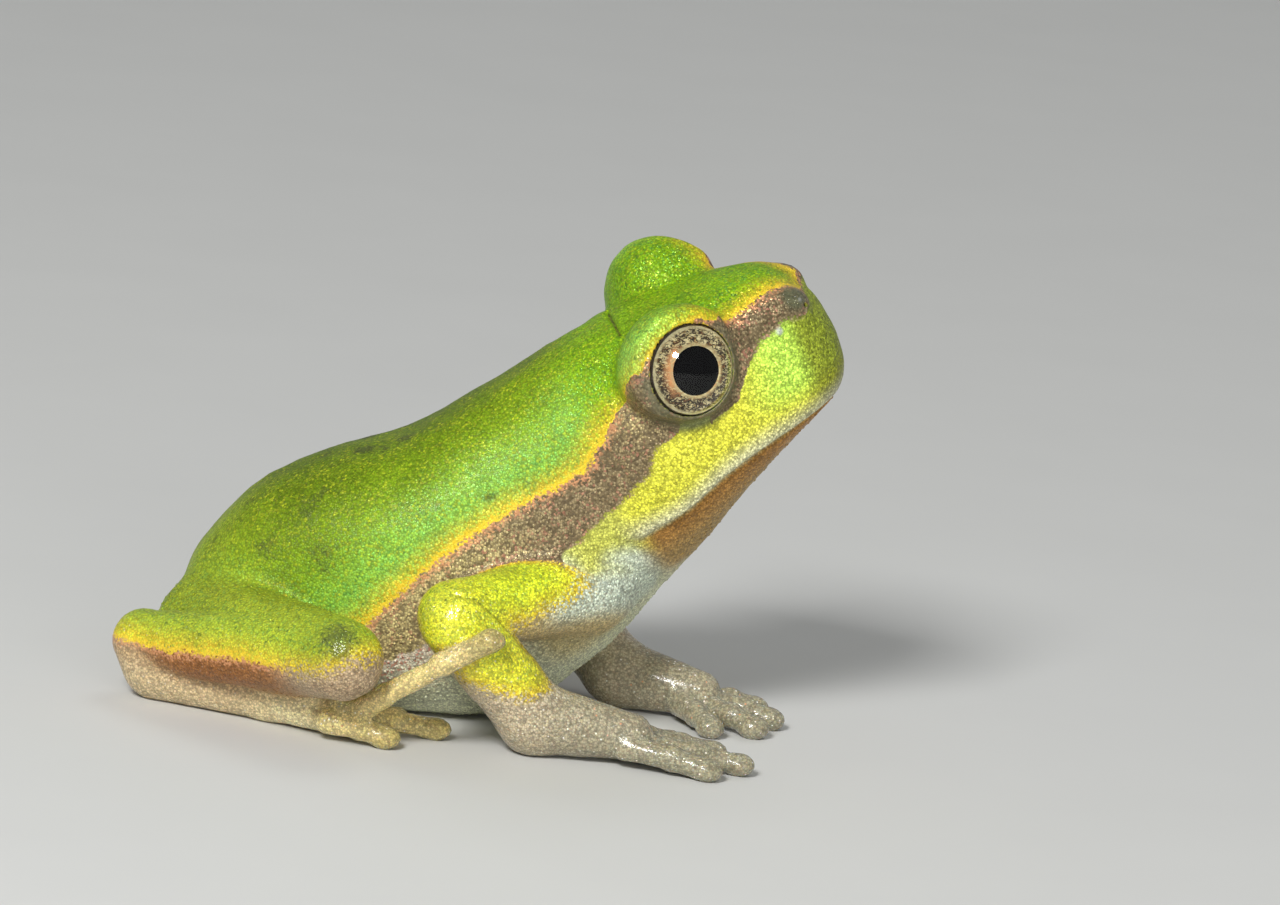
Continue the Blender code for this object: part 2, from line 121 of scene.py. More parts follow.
head = {
    "from": 11.5,                  # its details start here, along the axis
    "domeRadius": (1.62, 1.36),    # over the eye, and under it
    "domeTurn": (-0.9, 0.5),       # the one runs into the other between these heights
    "domeSlant": 0.35,             # and higher up the further ahead
    "domeFront": 0.5,              # the lids end this far out from the middle of the ball
    "domeEdge": 0.2,
    "domeBlend": 0.3,
    "rimRing": (1.2, 0.5, 0.06),   # radius of the ring, its level, thickness
    "rimBlend": 0.1,
    "canthus": ((15.6, 1.7, 2.75), (17.7, 0.8, 2.5), 0.42),
    "canthusBlend": 0.4,
    "nostril": ((17.9, 0.78, 2.0), 0.36),
    "nostrilBlend": 0.22,
    "nostrilPit": ((18.3, 1.12, 2.05), (18.1, 0.9, 2.0), 0.05),
    "pitEdge": 0.05,
    "mouth": ((12.2, -1.9), (15.0, -0.85), (18.3, -0.7)),
    "tympanum": ((12.95, 3.0, -0.05), 0.52),
    "throatFold": ((11.9, 2.62, -2.0), (12.35, 2.2, -2.75), (12.1, 1.3, -3.55), (11.95, 0.0, -3.85)),
}

# the limbs: places are (ahead, out to its own side, up)
sides = {"right": -1.0, "left": 1.0}
joints = {
    "shoulder": {"right": (2.4, 2.1, 3.9), "left": (2.4, 2.1, 3.9)},
    "elbow": {"right": (-0.95, 4.6, 3.4), "left": (0.5, 4.3, 3.1)},
    "elbowOut": {"right": (-0.85, 4.84, 3.3), "left": (0.6, 4.54, 3.0)},  # the forearm lies outermost
    "wrist": {"right": (1.35, 4.2, 0.9), "left": (3.3, 1.8, 0.9)},
    "palm": {"right": (3.75, 4.2, 0.7), "left": (5.4, 1.2, 0.68)},
    "hip": {"right": (-7.25, 1.45, 1.65), "left": (-6.7, 1.2, 1.6)},
    "knee": {"right": (-3.55, 6.2, 2.38), "left": (-2.6, 6.1, 2.35)},
    "heel": {"right": (-8.75, 2.4, 1.42), "left": (-7.25, 2.5, 1.35)},
    "tarsus": {"right": (-8.35, 2.5, 0.8), "left": (-7.0, 2.6, 0.8)},
    "ankle": {"right": (-5.3, 3.7, 0.6), "left": (-4.5, 3.7, 0.6)},
    "sole": {"right": (-3.5, 4.7, 0.56), "left": (-2.7, 4.7, 0.56)},
}
limbs = {
    # name: start, end, radii at start and end, swell in the middle, blend into the one before
    "upperArm": ("shoulder", "elbow", 0.98, 0.92, 0.0, 0.0),
    "forearm": ("elbowOut", "wrist", 0.92, 0.85, 0.05, 0.06),
    "hand": ("wrist", "palm", 0.88, 0.62, 0.0, 0.3),
    "thigh": ("hip", "knee", 1.25, 1.0, 0.12, 0.0),
    "shank": ("knee", "heel", 1.0, 0.74, 0.04, 0.06),
    "heelCap": ("heel", "tarsus", 0.77, 0.84, 0.03, 0.08),
    "tarsusRod": ("tarsus", "ankle", 0.84, 0.6, 0.0, 0.1),
    "foot": ("ankle", "sole", 0.6, 0.5, 0.0, 0.3),
}
fingers = {  # knuckle and tip of each, on the floor
    "right": (((3.5, 3.6), (4.8, 2.5)), ((4.0, 3.9), (5.9, 3.2)), ((4.1, 4.3), (6.6, 4.2)),
              ((3.7, 4.7), (5.8, 5.1))),
    "left": (((5.0, 0.7), (5.8, -0.6)), ((5.6, 0.8), (6.9, -0.1)), ((5.8, 1.2), (7.3, 1.0)),
             ((5.5, 1.6), (6.9, 2.1))),
}
toes = {
    "right": (((-4.4, 3.8), (-3.2, 2.7)), ((-4.0, 4.1), (-2.2, 3.1)), ((-3.6, 4.4), (-1.1, 3.8)),
              ((-3.4, 4.8), (0.05, 5.65)), ((-3.8, 5.1), (-2.3, 5.3))),
    "left": (((-3.6, 3.8), (-2.4, 2.7)), ((-3.2, 4.1), (-1.4, 3.1)), ((-2.8, 4.4), (-0.1, 4.1)),
             ((-2.6, 4.8), (0.8, 5.6)), ((-3.0, 5.1), (-1.2, 6.2))),
}
digitShape = {
    "liftedToe": ((-2.45, 5.4, 1.35), (-1.1, 5.8, 2.4), (0.05, 5.85, 3.15)),  # right toe 4, on the elbow
    "radius": 0.285,
    "base": 1.2,                   # against that radius, at the knuckle
    "taper": 0.94,
    "levels": (0.48, 0.43, 0.26),  # knuckle, arch, tip
    "archAt": 0.55,
    "pad": (0.4, 0.37, 0.29),
    "knob": 0.03,                  # the joint in the middle swells by this
    "blend": 0.1,
}
joining = {
    "root": 0.7,                   # how softly a limb runs into the body at its root
    "touch": 0.06,                 # and where it only lies against it
    "reach": 3.0,
    "least": 0.05,                 # how softly one part of a limb runs into the next
    "aside": 0.9,                  # a part further off than this isn't worked out
}


def smoothStep(v, low, high):
    u = np.clip((v - low) / (high - low), 0.0, 1.0)
    return u * u * (3.0 - 2.0 * u)


def falling(v, low, high):
    return 1.0 - smoothStep(v, low, high)


def smoothMin(a, b, k):
    h = np.clip(0.5 + 0.5 * (b - a) / k, 0.0, 1.0)
    return b * (1.0 - h) + a * h - k * h * (1.0 - h)


def smoothMax(a, b, k):
    return -smoothMin(-a, -b, k)


def through(v, xs, ys):
    # a smooth curve through the points, with slopes taken from their neighbours
    xs, ys = np.asarray(xs, float), np.asarray(ys, float)
    slope = np.gradient(ys, xs)
    i = np.clip(np.searchsorted(xs, v) - 1, 0, len(xs) - 2)
    width = xs[i + 1] - xs[i]
    u = np.clip((v - xs[i]) / width, 0.0, 1.0)
    return (
        (2 * u**3 - 3 * u**2 + 1) * ys[i]
        + (u**3 - 2 * u**2 + u) * width * slope[i]
        + (3 * u**2 - 2 * u**3) * ys[i + 1]
        + (u**3 - u**2) * width * slope[i + 1]
    )


def distanceTo(p, centre):
    return np.sqrt(sum((p[i] - centre[i]) ** 2 for i in range(3)))


def blob(p, centre, size):
    # 1 at the centre, fading out over this size
    return np.exp(-((distanceTo(p, centre) / size) ** 2))


def shareAlong(p, start, end):
    a, along = np.array(start), np.array(end) - np.array(start)
    return sum((p[i] - a[i]) * along[i] for i in range(3)) / (along @ along)


def rod(p, start, end, radii):
    a, along = np.array(start), np.array(end) - np.array(start)
    u = np.clip(shareAlong(p, start, end), 0.0, 1.0)
    away = np.sqrt(sum((p[i] - a[i] - u * along[i]) ** 2 for i in range(3)))
    return away - (radii[0] + (radii[1] - radii[0]) * u + radii[2] * np.sin(math.pi * u))


def ball(p, centre, radii):
    scaled = np.sqrt(sum(((p[i] - centre[i]) / radii[i]) ** 2 for i in range(3)))
    return (scaled - 1.0) * min(radii)


def turn(a, b, angle, origin=0.0):
    # turns (a, b) backwards by the angle, about a point of the first axis
    c, n, a = np.cos(angle), np.sin(angle), a - origin
    return origin + a * c + b * n, b * c - a * n


rise, yaw, roll = math.radians(trunk["rise"]), math.radians(neck["yaw"]), math.radians(neck["roll"])


def headFrame(p):
    # distance along the body's axis, sideways and above it, with the turn of the head undone
    s, t = turn(p[0] - trunk["vent"][0], p[2] - trunk["vent"][1], rise)
    amount = smoothStep(s, neck["from"], neck["to"])
    s, y = turn(s, p[1], yaw * amount, neck["pivot"][0])
    t, y = turn(t, y, -roll * amount, neck["pivot"][1])
    return s, y, t


def fromHead(s, y, t):
    # a point of the head, back in the upright frame
    t, y = turn(t, y, roll, neck["pivot"][1])
    s, y = turn(s, y, -yaw, neck["pivot"][0])
    c, n = math.cos(rise), math.sin(rise)
    return trunk["vent"][0] + c * s - n * t, y, trunk["vent"][1] + n * s + c * t


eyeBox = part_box("eye_right")
eyeMiddle = [(low + high) / 2.0 / mm for low, high in zip(*eyeBox)]
eyeHere = fromHead(eye["centre"][0], -eye["centre"][1], eye["centre"][2])
shift = np.array([a - b for a, b in zip(eyeMiddle, eyeHere)])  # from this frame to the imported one


def toWorld(point):
    return Vector([(a + b) * mm for a, b in zip(point, shift)])


def sideJoint(name, side):
    x, y, z = joints[name][side]
    return x, y * sides[side], z


def beside(name, side, offset):
    # a place this far from a joint, mirrored with its side
    return tuple(np.array(sideJoint(name, side)) + (offset[0], offset[1] * sides[side], offset[2]))


def mouthLevel(s):
    return through(s, [m[0] for m in head["mouth"]], [m[1] for m in head["mouth"]])


def loftedBody(s, y, t):
    rows = trunk["stations"]
    where = [row[0] for row in rows]
    back, belly, half, level = (through(s, where, [row[i] for row in rows]) for i in range(1, 5))
    jaw = smoothStep(s, neck["jawFrom"], neck["jawTo"])
    jaw = jaw * smoothStep(mouthLevel(s) - t, -neck["lip"], neck["lip"])
    half = half - neck["jawInset"] * jaw
    up = t - level
    above = np.abs(up / (back - level)) ** trunk["squareAbove"]
    below = np.abs(up / (level - belly)) ** trunk["squareBelow"]
    power = np.where(up > 0.0, trunk["squareAbove"], trunk["squareBelow"])
    across = np.abs(y / half) ** power
    ends = 0.0
    for start, end, blunt in (trunk["rump"], trunk["snout"]):
        ends = ends + np.clip((s - start) / (end - start), 0.0, None) ** blunt
    total = across + np.where(up > 0.0, above, below) + ends
    radius = np.minimum(half, np.where(up > 0.0, back - level, level - belly))
    return (total ** (1.0 / power) - 1.0) * radius * trunk["roundShare"]


def eyeReach(q):
    # how far along the gaze, and how far from that line
    along = sum((q[i] - eye["centre"][i]) * gaze[i] for i in range(3))
    off = np.sqrt(np.maximum(distanceTo(q, eye["centre"]) ** 2 - along**2, 0.0))
    return along, off


def headDetail(form, q):
    # eye domes with their rims, ridges before the eyes, nostrils
    along, off = eyeReach(q)
    over, under = head["domeRadius"]
    ahead, _, high = (q[i] - eye["centre"][i] for i in range(3))
    upper = smoothStep(high - head["domeSlant"] * ahead, *head["domeTurn"])
    dome = distanceTo(q, eye["centre"]) - under - (over - under) * upper
    dome = smoothMax(dome, along - head["domeFront"], head["domeEdge"])
    form = smoothMin(form, dome, head["domeBlend"])
    ring, level, thick = head["rimRing"]
    form = smoothMin(form, np.hypot(off - ring, along - level) - thick, head["rimBlend"])
    (s0, y0, t0), (s1, y1, t1), radius = head["canthus"]
    ridge = rod(q, (s0, y0, t0 - radius), (s1, y1, t1 - radius), (radius, radius, 0.0))
    form = smoothMin(form, ridge, head["canthusBlend"])
    place, radius = head["nostril"]
    form = smoothMin(form, ball(q, place, (radius,) * 3), head["nostrilBlend"])
    return form


def carveHead(form, q):
    outer, inner, radius = head["nostrilPit"]
    form = smoothMax(form, -rod(q, outer, inner, (radius, radius, 0.0)), head["pitEdge"])
    return np.maximum(form, -(distanceTo(q, eye["centre"]) - eye["socket"]))


def digitPath(side, knuckle, tip, lifted):
    levels = digitShape["levels"]
    if lifted:
        points = [(*knuckle, levels[0]), *digitShape["liftedToe"]]
    else:
        middle = [a + (b - a) * digitShape["archAt"] for a, b in zip(knuckle, tip)]
        points = [(*knuckle, levels[0]), (*middle, levels[1]), (*tip, levels[2])]
    return [(x, y * sides[side], z) for x, y, z in points]


def digitField(p, path):
    radius, blend = digitShape["radius"], digitShape["blend"]
    form = rod(p, path[0], path[1], (radius * digitShape["base"], radius, 0.0))
    for a, b in zip(path[1:], path[2:]):
        form = smoothMin(form, rod(p, a, b, (radius, radius * digitShape["taper"], 0.0)), blend)
    for joint in path[1:-1]:
        form = smoothMin(form, ball(p, joint, (radius + digitShape["knob"],) * 3), blend)
    return smoothMin(form, ball(p, path[-1], digitShape["pad"]), blend)


def makeChains():
    # every limb as a list of (name, side, box, field, blend)
    chains = []
    for side in ("left", "right"):
        for names, digits, root, kind in (
            (("upperArm", "forearm", "hand"), fingers[side], "shoulder", "finger"),
            (("thigh", "shank", "heelCap", "tarsusRod", "foot"), toes[side], "hip", "toe"),
        ):
            chain = []
            for name in names:
                start, end, r0, r1, swell, blend = limbs[name]
                a, b = sideJoint(start, side), sideJoint(end, side)
                chain.append((name, side, [a, b], max(r0, r1),
                              lambda p, a=a, b=b, r=(r0, r1, swell): rod(p, a, b, r), blend))
            for number, (knuckle, tip) in enumerate(digits, 1):
                path = digitPath(side, knuckle, tip, kind == "toe" and side == "right" and number == 4)
                chain.append((kind, side, path, 0.5, lambda p, path=path: digitField(p, path),
                              digitShape["blend"]))
            chains.append((sideJoint(root, side), chain))
    return chains


chains = makeChains()


def nearPoints(p, points, reach):
    return all(
        p[i].max() > min(c[i] for c in points) - reach and p[i].min() < max(c[i] for c in points) + reach
        for i in range(3)
    )


def skinField(p, relief=False):
    s, y, t = headFrame(p)
    q = (s, np.abs(y), t)
    form = loftedBody(s, y, t)
    if s.max() > head["from"]:
        form = headDetail(form, q)
    for root, chain in chains:
        limb = None
        for _, _, points, radius, field, blend in chain:
            if not nearPoints(p, points, radius + joining["aside"]):
                continue
            distance = field(p)
            limb = distance if limb is None else smoothMin(limb, distance, max(blend, joining["least"]))
        if limb is None:
            continue
        near = np.exp(-(distanceTo(p, root) ** 2) / joining["reach"] ** 2)
        form = smoothMin(form, limb, joining["touch"] + (joining["root"] - joining["touch"]) * near)
    if relief:
        form = form + skinRelief(p, q)
    if s.max() > head["from"]:
        form = carveHead(form, q)
    return np.maximum(form, -p[2])


def groove(distance, depth, width):
    return depth * np.exp(-((distance / width) ** 2))


latticeSeed = np.random.default_rng(41).random((32, 32, 32)).astype(np.float32)


def softNoise(p, size):
    # smooth random bumps about this big, from -1 to 1
    cells = [p[i] / size for i in range(3)]
    low = [np.floor(c).astype(int) for c in cells]
    f = [smoothStep(c - l, 0.0, 1.0) for c, l in zip(cells, low)]
    total = 0.0
    for i in (0, 1):
        for j in (0, 1):
            for k in (0, 1):
                corner = latticeSeed[(low[0] + i) % 32, (low[1] + j) % 32, (low[2] + k) % 32]
                share = (f[0] if i else 1 - f[0]) * (f[1] if j else 1 - f[1]) * (f[2] if k else 1 - f[2])
                total = total + corner * share
    return total * 2.0 - 1.0


creases = {
    # where it runs, the way out of the skin there, depth, width, how dark its painted shade is
    "nape": (((2.05, 0.15, 10.62), (2.21, -0.74, 10.59), (2.34, -1.26, 10.5), (2.43, -1.55, 10.42)),
             (-0.48, -0.2, 0.85), 0.07, 0.065, 1.0),
    "elbow": (((-1.07, -5.26, 4.08), (-0.74, -5.25, 4.06), (-0.44, -5.16, 4.0), (-0.09, -5.06, 3.76),
               (0.24, -4.88, 3.44), (0.6, -4.65, 3.06), (1.07, -4.43, 2.57)),
              (0.35, -0.75, 0.55), 0.07, 0.08, 0.6),
    "shoulder": (((2.7, -3.0, 4.55), (3.0, -2.93, 4.35), (3.25, -2.75, 4.1), (3.49, -2.38, 3.79)),
                 (0.7, -0.7, 0.1), 0.06, 0.09, 0.45),
}


def onSkin(p, line, out):
    # distance to a line that runs on the skin: how deep a point lies hardly counts
    n = np.array(out) / np.linalg.norm(out)
    best = None
    for start, end in zip(line, line[1:]):
        u = np.clip(shareAlong(p, start, end), 0.0, 1.0)
        gap = [p[i] - start[i] - u * (end[i] - start[i]) for i in range(3)]
        deep = sum(gap[i] * n[i] for i in range(3))
        away = np.sqrt(np.maximum(sum(g * g for g in gap) - 0.97 * deep**2, 0.0))
        best = away if best is None else np.minimum(best, away)
    return best


beads = (  # small tubercles of the snout: where, how big, how high, how pale
    ((17.38, 1.62, 1.87), 0.12, 0.06, 0.9),
    ((17.17, 1.62, 2.31), 0.09, 0.05, 0.0),
    # this bead's paleness is partly painted highlight, set where the nostril's dome shows a glint
    ((18.13, 1.1, 2.24), 0.1, 0.05, 0.5),
)
folds = {
    "mouth": (0.1, 0.07),          # depth and width of each
    "throat": (0.07, 0.13),
    "ear": (0.022, 0.07),          # the ring of the ear
    "earDip": (0.022, 0.3),
    "slow": (0.035, 1.3),          # depth and size of the skin's own unevenness
    "fine": (0.013, 0.36),
    "flank": (0.03, 0.42),
    "mouthFrom": (12.2, 12.8),     # these are places along the axis
    "calmFrom": (12.5, 14.5),
    "slackFrom": (2.0, 4.0),
    "slackUntil": (9.5, 11.5),
    "slackBelow": (0.6, 2.2),      # and this is below it
}


def skinRelief(p, q):
    # fine folds, as a depth to sink the skin by
    s, side, t = q
    sink = groove(t - mouthLevel(s), *folds["mouth"]) * smoothStep(s, *folds["mouthFrom"])
    place, radius = head["tympanum"]
    fromEar = distanceTo(q, place)
    sink = sink + groove(fromEar - radius, *folds["ear"]) + groove(fromEar, *folds["earDip"])
    for line, out, depth, width, _ in creases.values():
        sink = sink + groove(onSkin(p, line, out), depth, width)
    for place, size, high, _ in beads:
        sink = sink - groove(distanceTo(q, place), high, size)
    line = head["throatFold"]
    toFold = np.minimum.reduce([rod(q, *ends, (0.0, 0.0, 0.0)) for ends in zip(line, line[1:])])
    sink = sink + groove(toFold, *folds["throat"])
    calm = 1.0 - 0.75 * smoothStep(s, *folds["calmFrom"])
    sink = sink + folds["slow"][0] * calm * softNoise(p, folds["slow"][1])
    sink = sink + folds["fine"][0] * softNoise(p, folds["fine"][1])
    slack = smoothStep(-t, *folds["slackBelow"]) * smoothStep(s, *folds["slackFrom"])
    slack = slack * falling(s, *folds["slackUntil"])
    slanted = (s + 0.55 * t, 0.3 * side, 0.3 * t)
    return sink + folds["flank"][0] * slack * softNoise(slanted, folds["flank"][1])


skin = {
    "voxel": 0.055,
    "coarse": 5,                   # the first look is this many times coarser
    "band": 0.42,                  # worked out finely this close to the first look's surface
    "limit": 3.0,                  # distances count up to this many voxels
    "low": (-10.6, -7.9, -0.2),
    "high": (9.4, 7.9, 13.2),
    "triangles": 192000,
    "bodyShare": 0.4,              # 0 spreads the triangles evenly, 1 keeps them all for the head
    "finerHead": (11.0, 12.5),     # finer ahead of here
    "finerElbow": (0.9, 1.4),      # and this close to the folds of the elbow
}


def trilinear(coarse, shape, step):
    # stretches a coarse grid to the fine one
    for axis in range(3):
        where = np.arange(shape[axis]) / step
        i = np.minimum(where.astype(int), coarse.shape[axis] - 2)
        f = (where - i).astype(np.float32)
        f = f.reshape([-1 if a == axis else 1 for a in range(3)])
        coarse = np.take(coarse, i, axis) * (1 - f) + np.take(coarse, i + 1, axis) * f
    return coarse


def fieldGrid():
    voxel, step = skin["voxel"], skin["coarse"]
    low = np.array(skin["low"])
    counts = np.ceil((np.array(skin["high"]) - low) / (voxel * step)).astype(int) + 1
    axes = [low[i] + np.arange(counts[i]) * voxel * step for i in range(3)]
    p = [g.ravel() for g in np.meshgrid(*axes, indexing="ij")]
    coarse = skinField(p).reshape(counts).astype(np.float32)
    fine = trilinear(coarse, (counts - 1) * step + 1, step)
    near = np.nonzero(np.abs(fine) < skin["band"])
    say(f"{len(near[0])} points near the skin")
    limit = skin["limit"] * voxel
    fine = np.clip(fine, -limit, limit)
    chunk = 150000
    for start in range(0, len(near[0]), chunk):
        part = tuple(index[start:start + chunk] for index in near)
        p = [low[i] + part[i] * voxel for i in range(3)]
        fine[part] = np.clip(skinField(p), -limit, limit)
    return fine, low, voxel


def gradient(p, field, h=0.012):
    out = []
    for axis in range(3):
        ahead, behind = list(p), list(p)
        ahead[axis], behind[axis] = p[axis] + h, p[axis] - h
        out.append((field(ahead) - field(behind)) / (2 * h))
    return np.array(out)


def inChunks(function, points, size=40000):
    # keeps arrays small: points is (n, 3), and the result is stacked again
    order = np.argsort(points[:, 0], kind="stable")
    out = None
    for start in range(0, len(points), size):
        pick = order[start:start + size]
        result = function([points[pick, i] for i in range(3)])
        if out is None:
            out = np.zeros((len(points),) + result.shape[1:])
        out[pick] = result
    return out


def settle(points, rounds=3):
    # moves each point straight in or out to the exact surface, fine folds and all
    def step(p):
        value = skinField(p, relief=True)
        slope = gradient(p, skinField)
        size = np.maximum((slope**2).sum(0), 0.15)
        move = np.clip(value / size, -0.06, 0.06)
        return np.stack([p[i] - slope[i] * move for i in range(3)], axis=1)

    for _ in range(rounds):
        points = inChunks(step, points)
    points[:, 2] = np.where(points[:, 2] < 0.02, 0.0, points[:, 2])
    return points


def makeSkinMesh():
    fine, low, voxel = fieldGrid()
    grid = openvdb.FloatGrid(skin["limit"] * voxel)
    grid.copyFromArray(fine)
    points, triangles, quads = grid.convertToPolygons(0.0, 0.0)
    say(f"surface of {len(points)} points")
    points = points * voxel + low
    mesh = bpy.data.meshes.new("skin")
    faces = [tuple(f) for f in quads.tolist()] + [tuple(f) for f in triangles.tolist()]
    mesh.from_pydata(points.tolist(), [], faces)
    mesh.validate()
    if signedVolume(mesh) < 0.0:
        mesh.flip_normals()
    thing = putIn("skin", mesh)
    p = [points[:, i] for i in range(3)]
    toElbow = distanceTo(p, creases["elbow"][0][3])
    fine = smoothStep(headFrame(p)[0], *skin["finerHead"])
    fine = np.maximum(fine, falling(toElbow, *skin["finerElbow"]))
    group = thing.vertex_groups.new(name="finer")
    for level in range(11):
        pick = np.nonzero(np.round(fine * 10) == level)[0]
        group.add(pick.tolist(), skin["bodyShare"] * (1.0 - level / 10.0), "REPLACE")
    fewer = thing.modifiers.new("Fewer faces", "DECIMATE")
    fewer.ratio = skin["triangles"] / sum(len(f) - 2 for f in faces)
    fewer.vertex_group = "finer"
    fewer.vertex_group_factor = 1.0
    thin = withModifiers(thing, "skin")
    thing.vertex_groups.clear()
    bpy.data.meshes.remove(mesh)
    say(f"thinned to {len(thin.polygons)} faces")
    return thing


def signedVolume(mesh):
    mesh.calc_loop_triangles()
    corners = np.zeros(len(mesh.loop_triangles) * 3, int)
    mesh.loop_triangles.foreach_get("vertices", corners)
    places = np.zeros(len(mesh.vertices) * 3)
    mesh.vertices.foreach_get("co", places)
    a, b, c = (places.reshape(-1, 3)[corners.reshape(-1, 3)[:, i]] for i in range(3))
    return float((a * np.cross(b, c)).sum() / 6.0)


def readPoints(mesh):
    places = np.zeros(len(mesh.vertices) * 3)
    mesh.vertices.foreach_get("co", places)
    return places.reshape(-1, 3)


skinPiece = makeSkinMesh()
points = settle(readPoints(skinPiece.data))
say("settled on the exact skin")
skinPiece.data.vertices.foreach_set("co", ((points + shift) * mm).ravel())
skinPiece.data.update()
skinPiece.data.shade_smooth()


# markings: each edge is a line on the skin, and a point knows how far it lies from it
lines = {  # (along the axis, out from the middle, above the axis), from the tail forward
    "gold": (
        (0.2, 0.7, 0.1), (1.6, 1.9, -0.5), (3.4, 2.8, -1.7), (5.1, 3.24, -1.48), (6.2, 3.36, -1.02),
        (7.6, 3.33, -0.55), (9.6, 3.0, -0.17), (10.9, 2.85, -0.08), (11.6, 2.8, 0.1), (12.2, 2.78, 0.75),
        (12.8, 2.75, 1.6), (13.45, 3.05, 2.5), (14.05, 3.24, 3.1), (14.6, 3.1, 3.36), (15.1, 2.83, 3.46),
        (15.65, 2.4, 3.3), (16.2, 1.85, 2.8), (16.5, 1.62, 2.72), (17.0, 1.32, 2.75), (17.6, 0.94, 2.72),
        (18.0, 0.68, 2.52), (18.2, 0.6, 2.3), (18.35, 0.1, 2.2),
    ),
    "mask": (
        (0.2, 0.7, -0.2), (1.6, 1.9, -1.3), (3.4, 2.8, -2.5), (5.1, 3.3, -2.7), (7.0, 3.4, -2.5),
        (8.6, 3.3, -2.6), (9.7, 3.1, -2.45), (10.4, 2.93, -1.9), (11.2, 2.85, -1.4), (12.0, 2.85, -0.98),
        (12.6, 2.97, -0.5), (13.15, 3.02, 0.0), (13.4, 2.97, 0.55), (14.0, 2.99, 0.8), (14.45, 3.2, 0.95),
        (15.1, 2.95, 0.68), (15.86, 2.53, 0.85), (16.35, 2.22, 1.46), (16.7, 1.91, 1.74), (17.0, 1.75, 1.9),
        (17.5, 1.54, 2.0), (17.8, 1.4, 1.92), (18.1, 1.1, 1.85), (18.28, 0.75, 2.0), (18.4, 0.1, 2.15),
    ),
}
spots = {  # dark spots on the back: where, how big, how dark
    "back": (
        ((6.4, 0.75, 2.25), 0.3, 1.0), ((6.9, 1.05, 2.2), 0.22, 0.8), ((7.5, 0.85, 2.2), 0.25, 0.9),
        ((9.1, 2.9, 0.34), 0.24, 0.62), ((4.73, 2.25, 1.65), 0.46, 0.52), ((3.31, 2.4, 1.16), 0.38, 0.54),
        ((4.65, 2.95, 0.6), 0.38, 0.5), ((3.2, 1.2, 2.1), 0.3, 0.5), ((2.0, 1.1, 1.5), 0.26, 0.5),
        ((5.2, 2.0, 1.9), 0.2, 0.5), ((5.3, 3.2, -0.3), 0.2, 0.5), ((6.1, 3.1, 0.2), 0.18, 0.5),
        ((4.6, 3.1, 0.05), 0.22, 0.55), ((8.3, 0.3, 2.3), 0.2, 0.5), ((5.4, 0.3, 2.4), 0.3, 0.5),
    ),
    "knee": (0.58, 0.8),
}
colours = {
    # partly the back's own olive, partly painted shade darkening the top of the back
    "backTopShaded": (0.13, 0.20, 0.004),
    "back": (0.22, 0.37, 0.006),
    "backSide": (0.25, 0.50, 0.055),
    "backRear": (0.30, 0.38, 0.02),
    "headTop": (0.22, 0.42, 0.005),
    "lid": (0.36, 0.66, 0.08),
    "upperArm": (0.74, 0.84, 0.035),
    "forearm": (0.90, 0.86, 0.045),
    "thigh": (0.33, 0.41, 0.02),
    "shank": (0.41, 0.53, 0.035),
    "cheek": (0.80, 0.78, 0.07),
    "snoutSide": (0.64, 0.98, 0.12),
    # partly painted shade: the snout's front face darker than its sides, as it turns from the light
    "snoutFront": (0.27, 0.29, 0.02),
    "lip": (0.66, 0.64, 0.46),
    # jaw and throat: orange-brown of their own, partly darkened with painted shade under the lip and jaw
    "jaw": (0.42, 0.21, 0.05),
    "throat": (0.44, 0.29, 0.10),
    "throatMiddle": (0.58, 0.46, 0.24),
    "pearl": (0.62, 0.69, 0.54),
    "neckSide": (0.55, 0.56, 0.10),
    "flank": (0.88, 0.71, 0.58),
    "belly": (0.74, 0.76, 0.52),
    "chest": (0.60, 0.48, 0.20),
    # painted shade: the dark grey-green band under the bulge of the eye
    "shadeUnderEye": (0.15, 0.19, 0.12),
    "armUnder": (0.70, 0.54, 0.24),
    "forearmUnder": (0.60, 0.50, 0.33),
    "hand": (0.40, 0.36, 0.24),
    "finger": (0.35, 0.33, 0.22),
    "thighUnder": (0.50, 0.30, 0.13),
    # the shank's own orange-brown underside, darkened with painted shade for the gap over the tarsus
    "shankUnderShade": (0.33, 0.13, 0.03),
    "kneeUnder": (0.48, 0.42, 0.30),
    "tarsus": (0.67, 0.54, 0.31),
    "foot": (0.90, 0.80, 0.46),
    "toe": (0.76, 0.63, 0.27),
    "toeTip": (0.36, 0.31, 0.10),
}


def lineDistance(q, normal, line):
    # distance to the line, above it where positive, as seen on the skin
    best = np.full(q[0].shape, 1e9)
    above = np.zeros(q[0].shape)
    for start, end in zip(line, line[1:]):
        a, along = np.array(start), np.array(end) - np.array(start)
        u = np.clip(shareAlong(q, start, end), 0.0, 1.0)
        gap = [q[i] - a[i] - u * along[i] for i in range(3)]
        away = np.sqrt(sum(g * g for g in gap))
        up = np.cross(along / np.linalg.norm(along), np.stack(normal, axis=-1))
        side = sum(gap[i] * up[..., i] for i in range(3))
        closer = away < best
        best = np.where(closer, away, best)
        above = np.where(closer, side, above)
    return np.where(above >= 0.0, best, -best)


def paint(colour, *coats):
    # coats laid one over another, each a colour or its name, and how much shows of it
    mixed = colours[colour] if isinstance(colour, str) else colour
    for name, share in coats:
        coat = colours[name] if isinstance(name, str) else name
        mixed = np.asarray(mixed) * (1.0 - share)[..., None] + np.asarray(coat) * share[..., None]
    return mixed


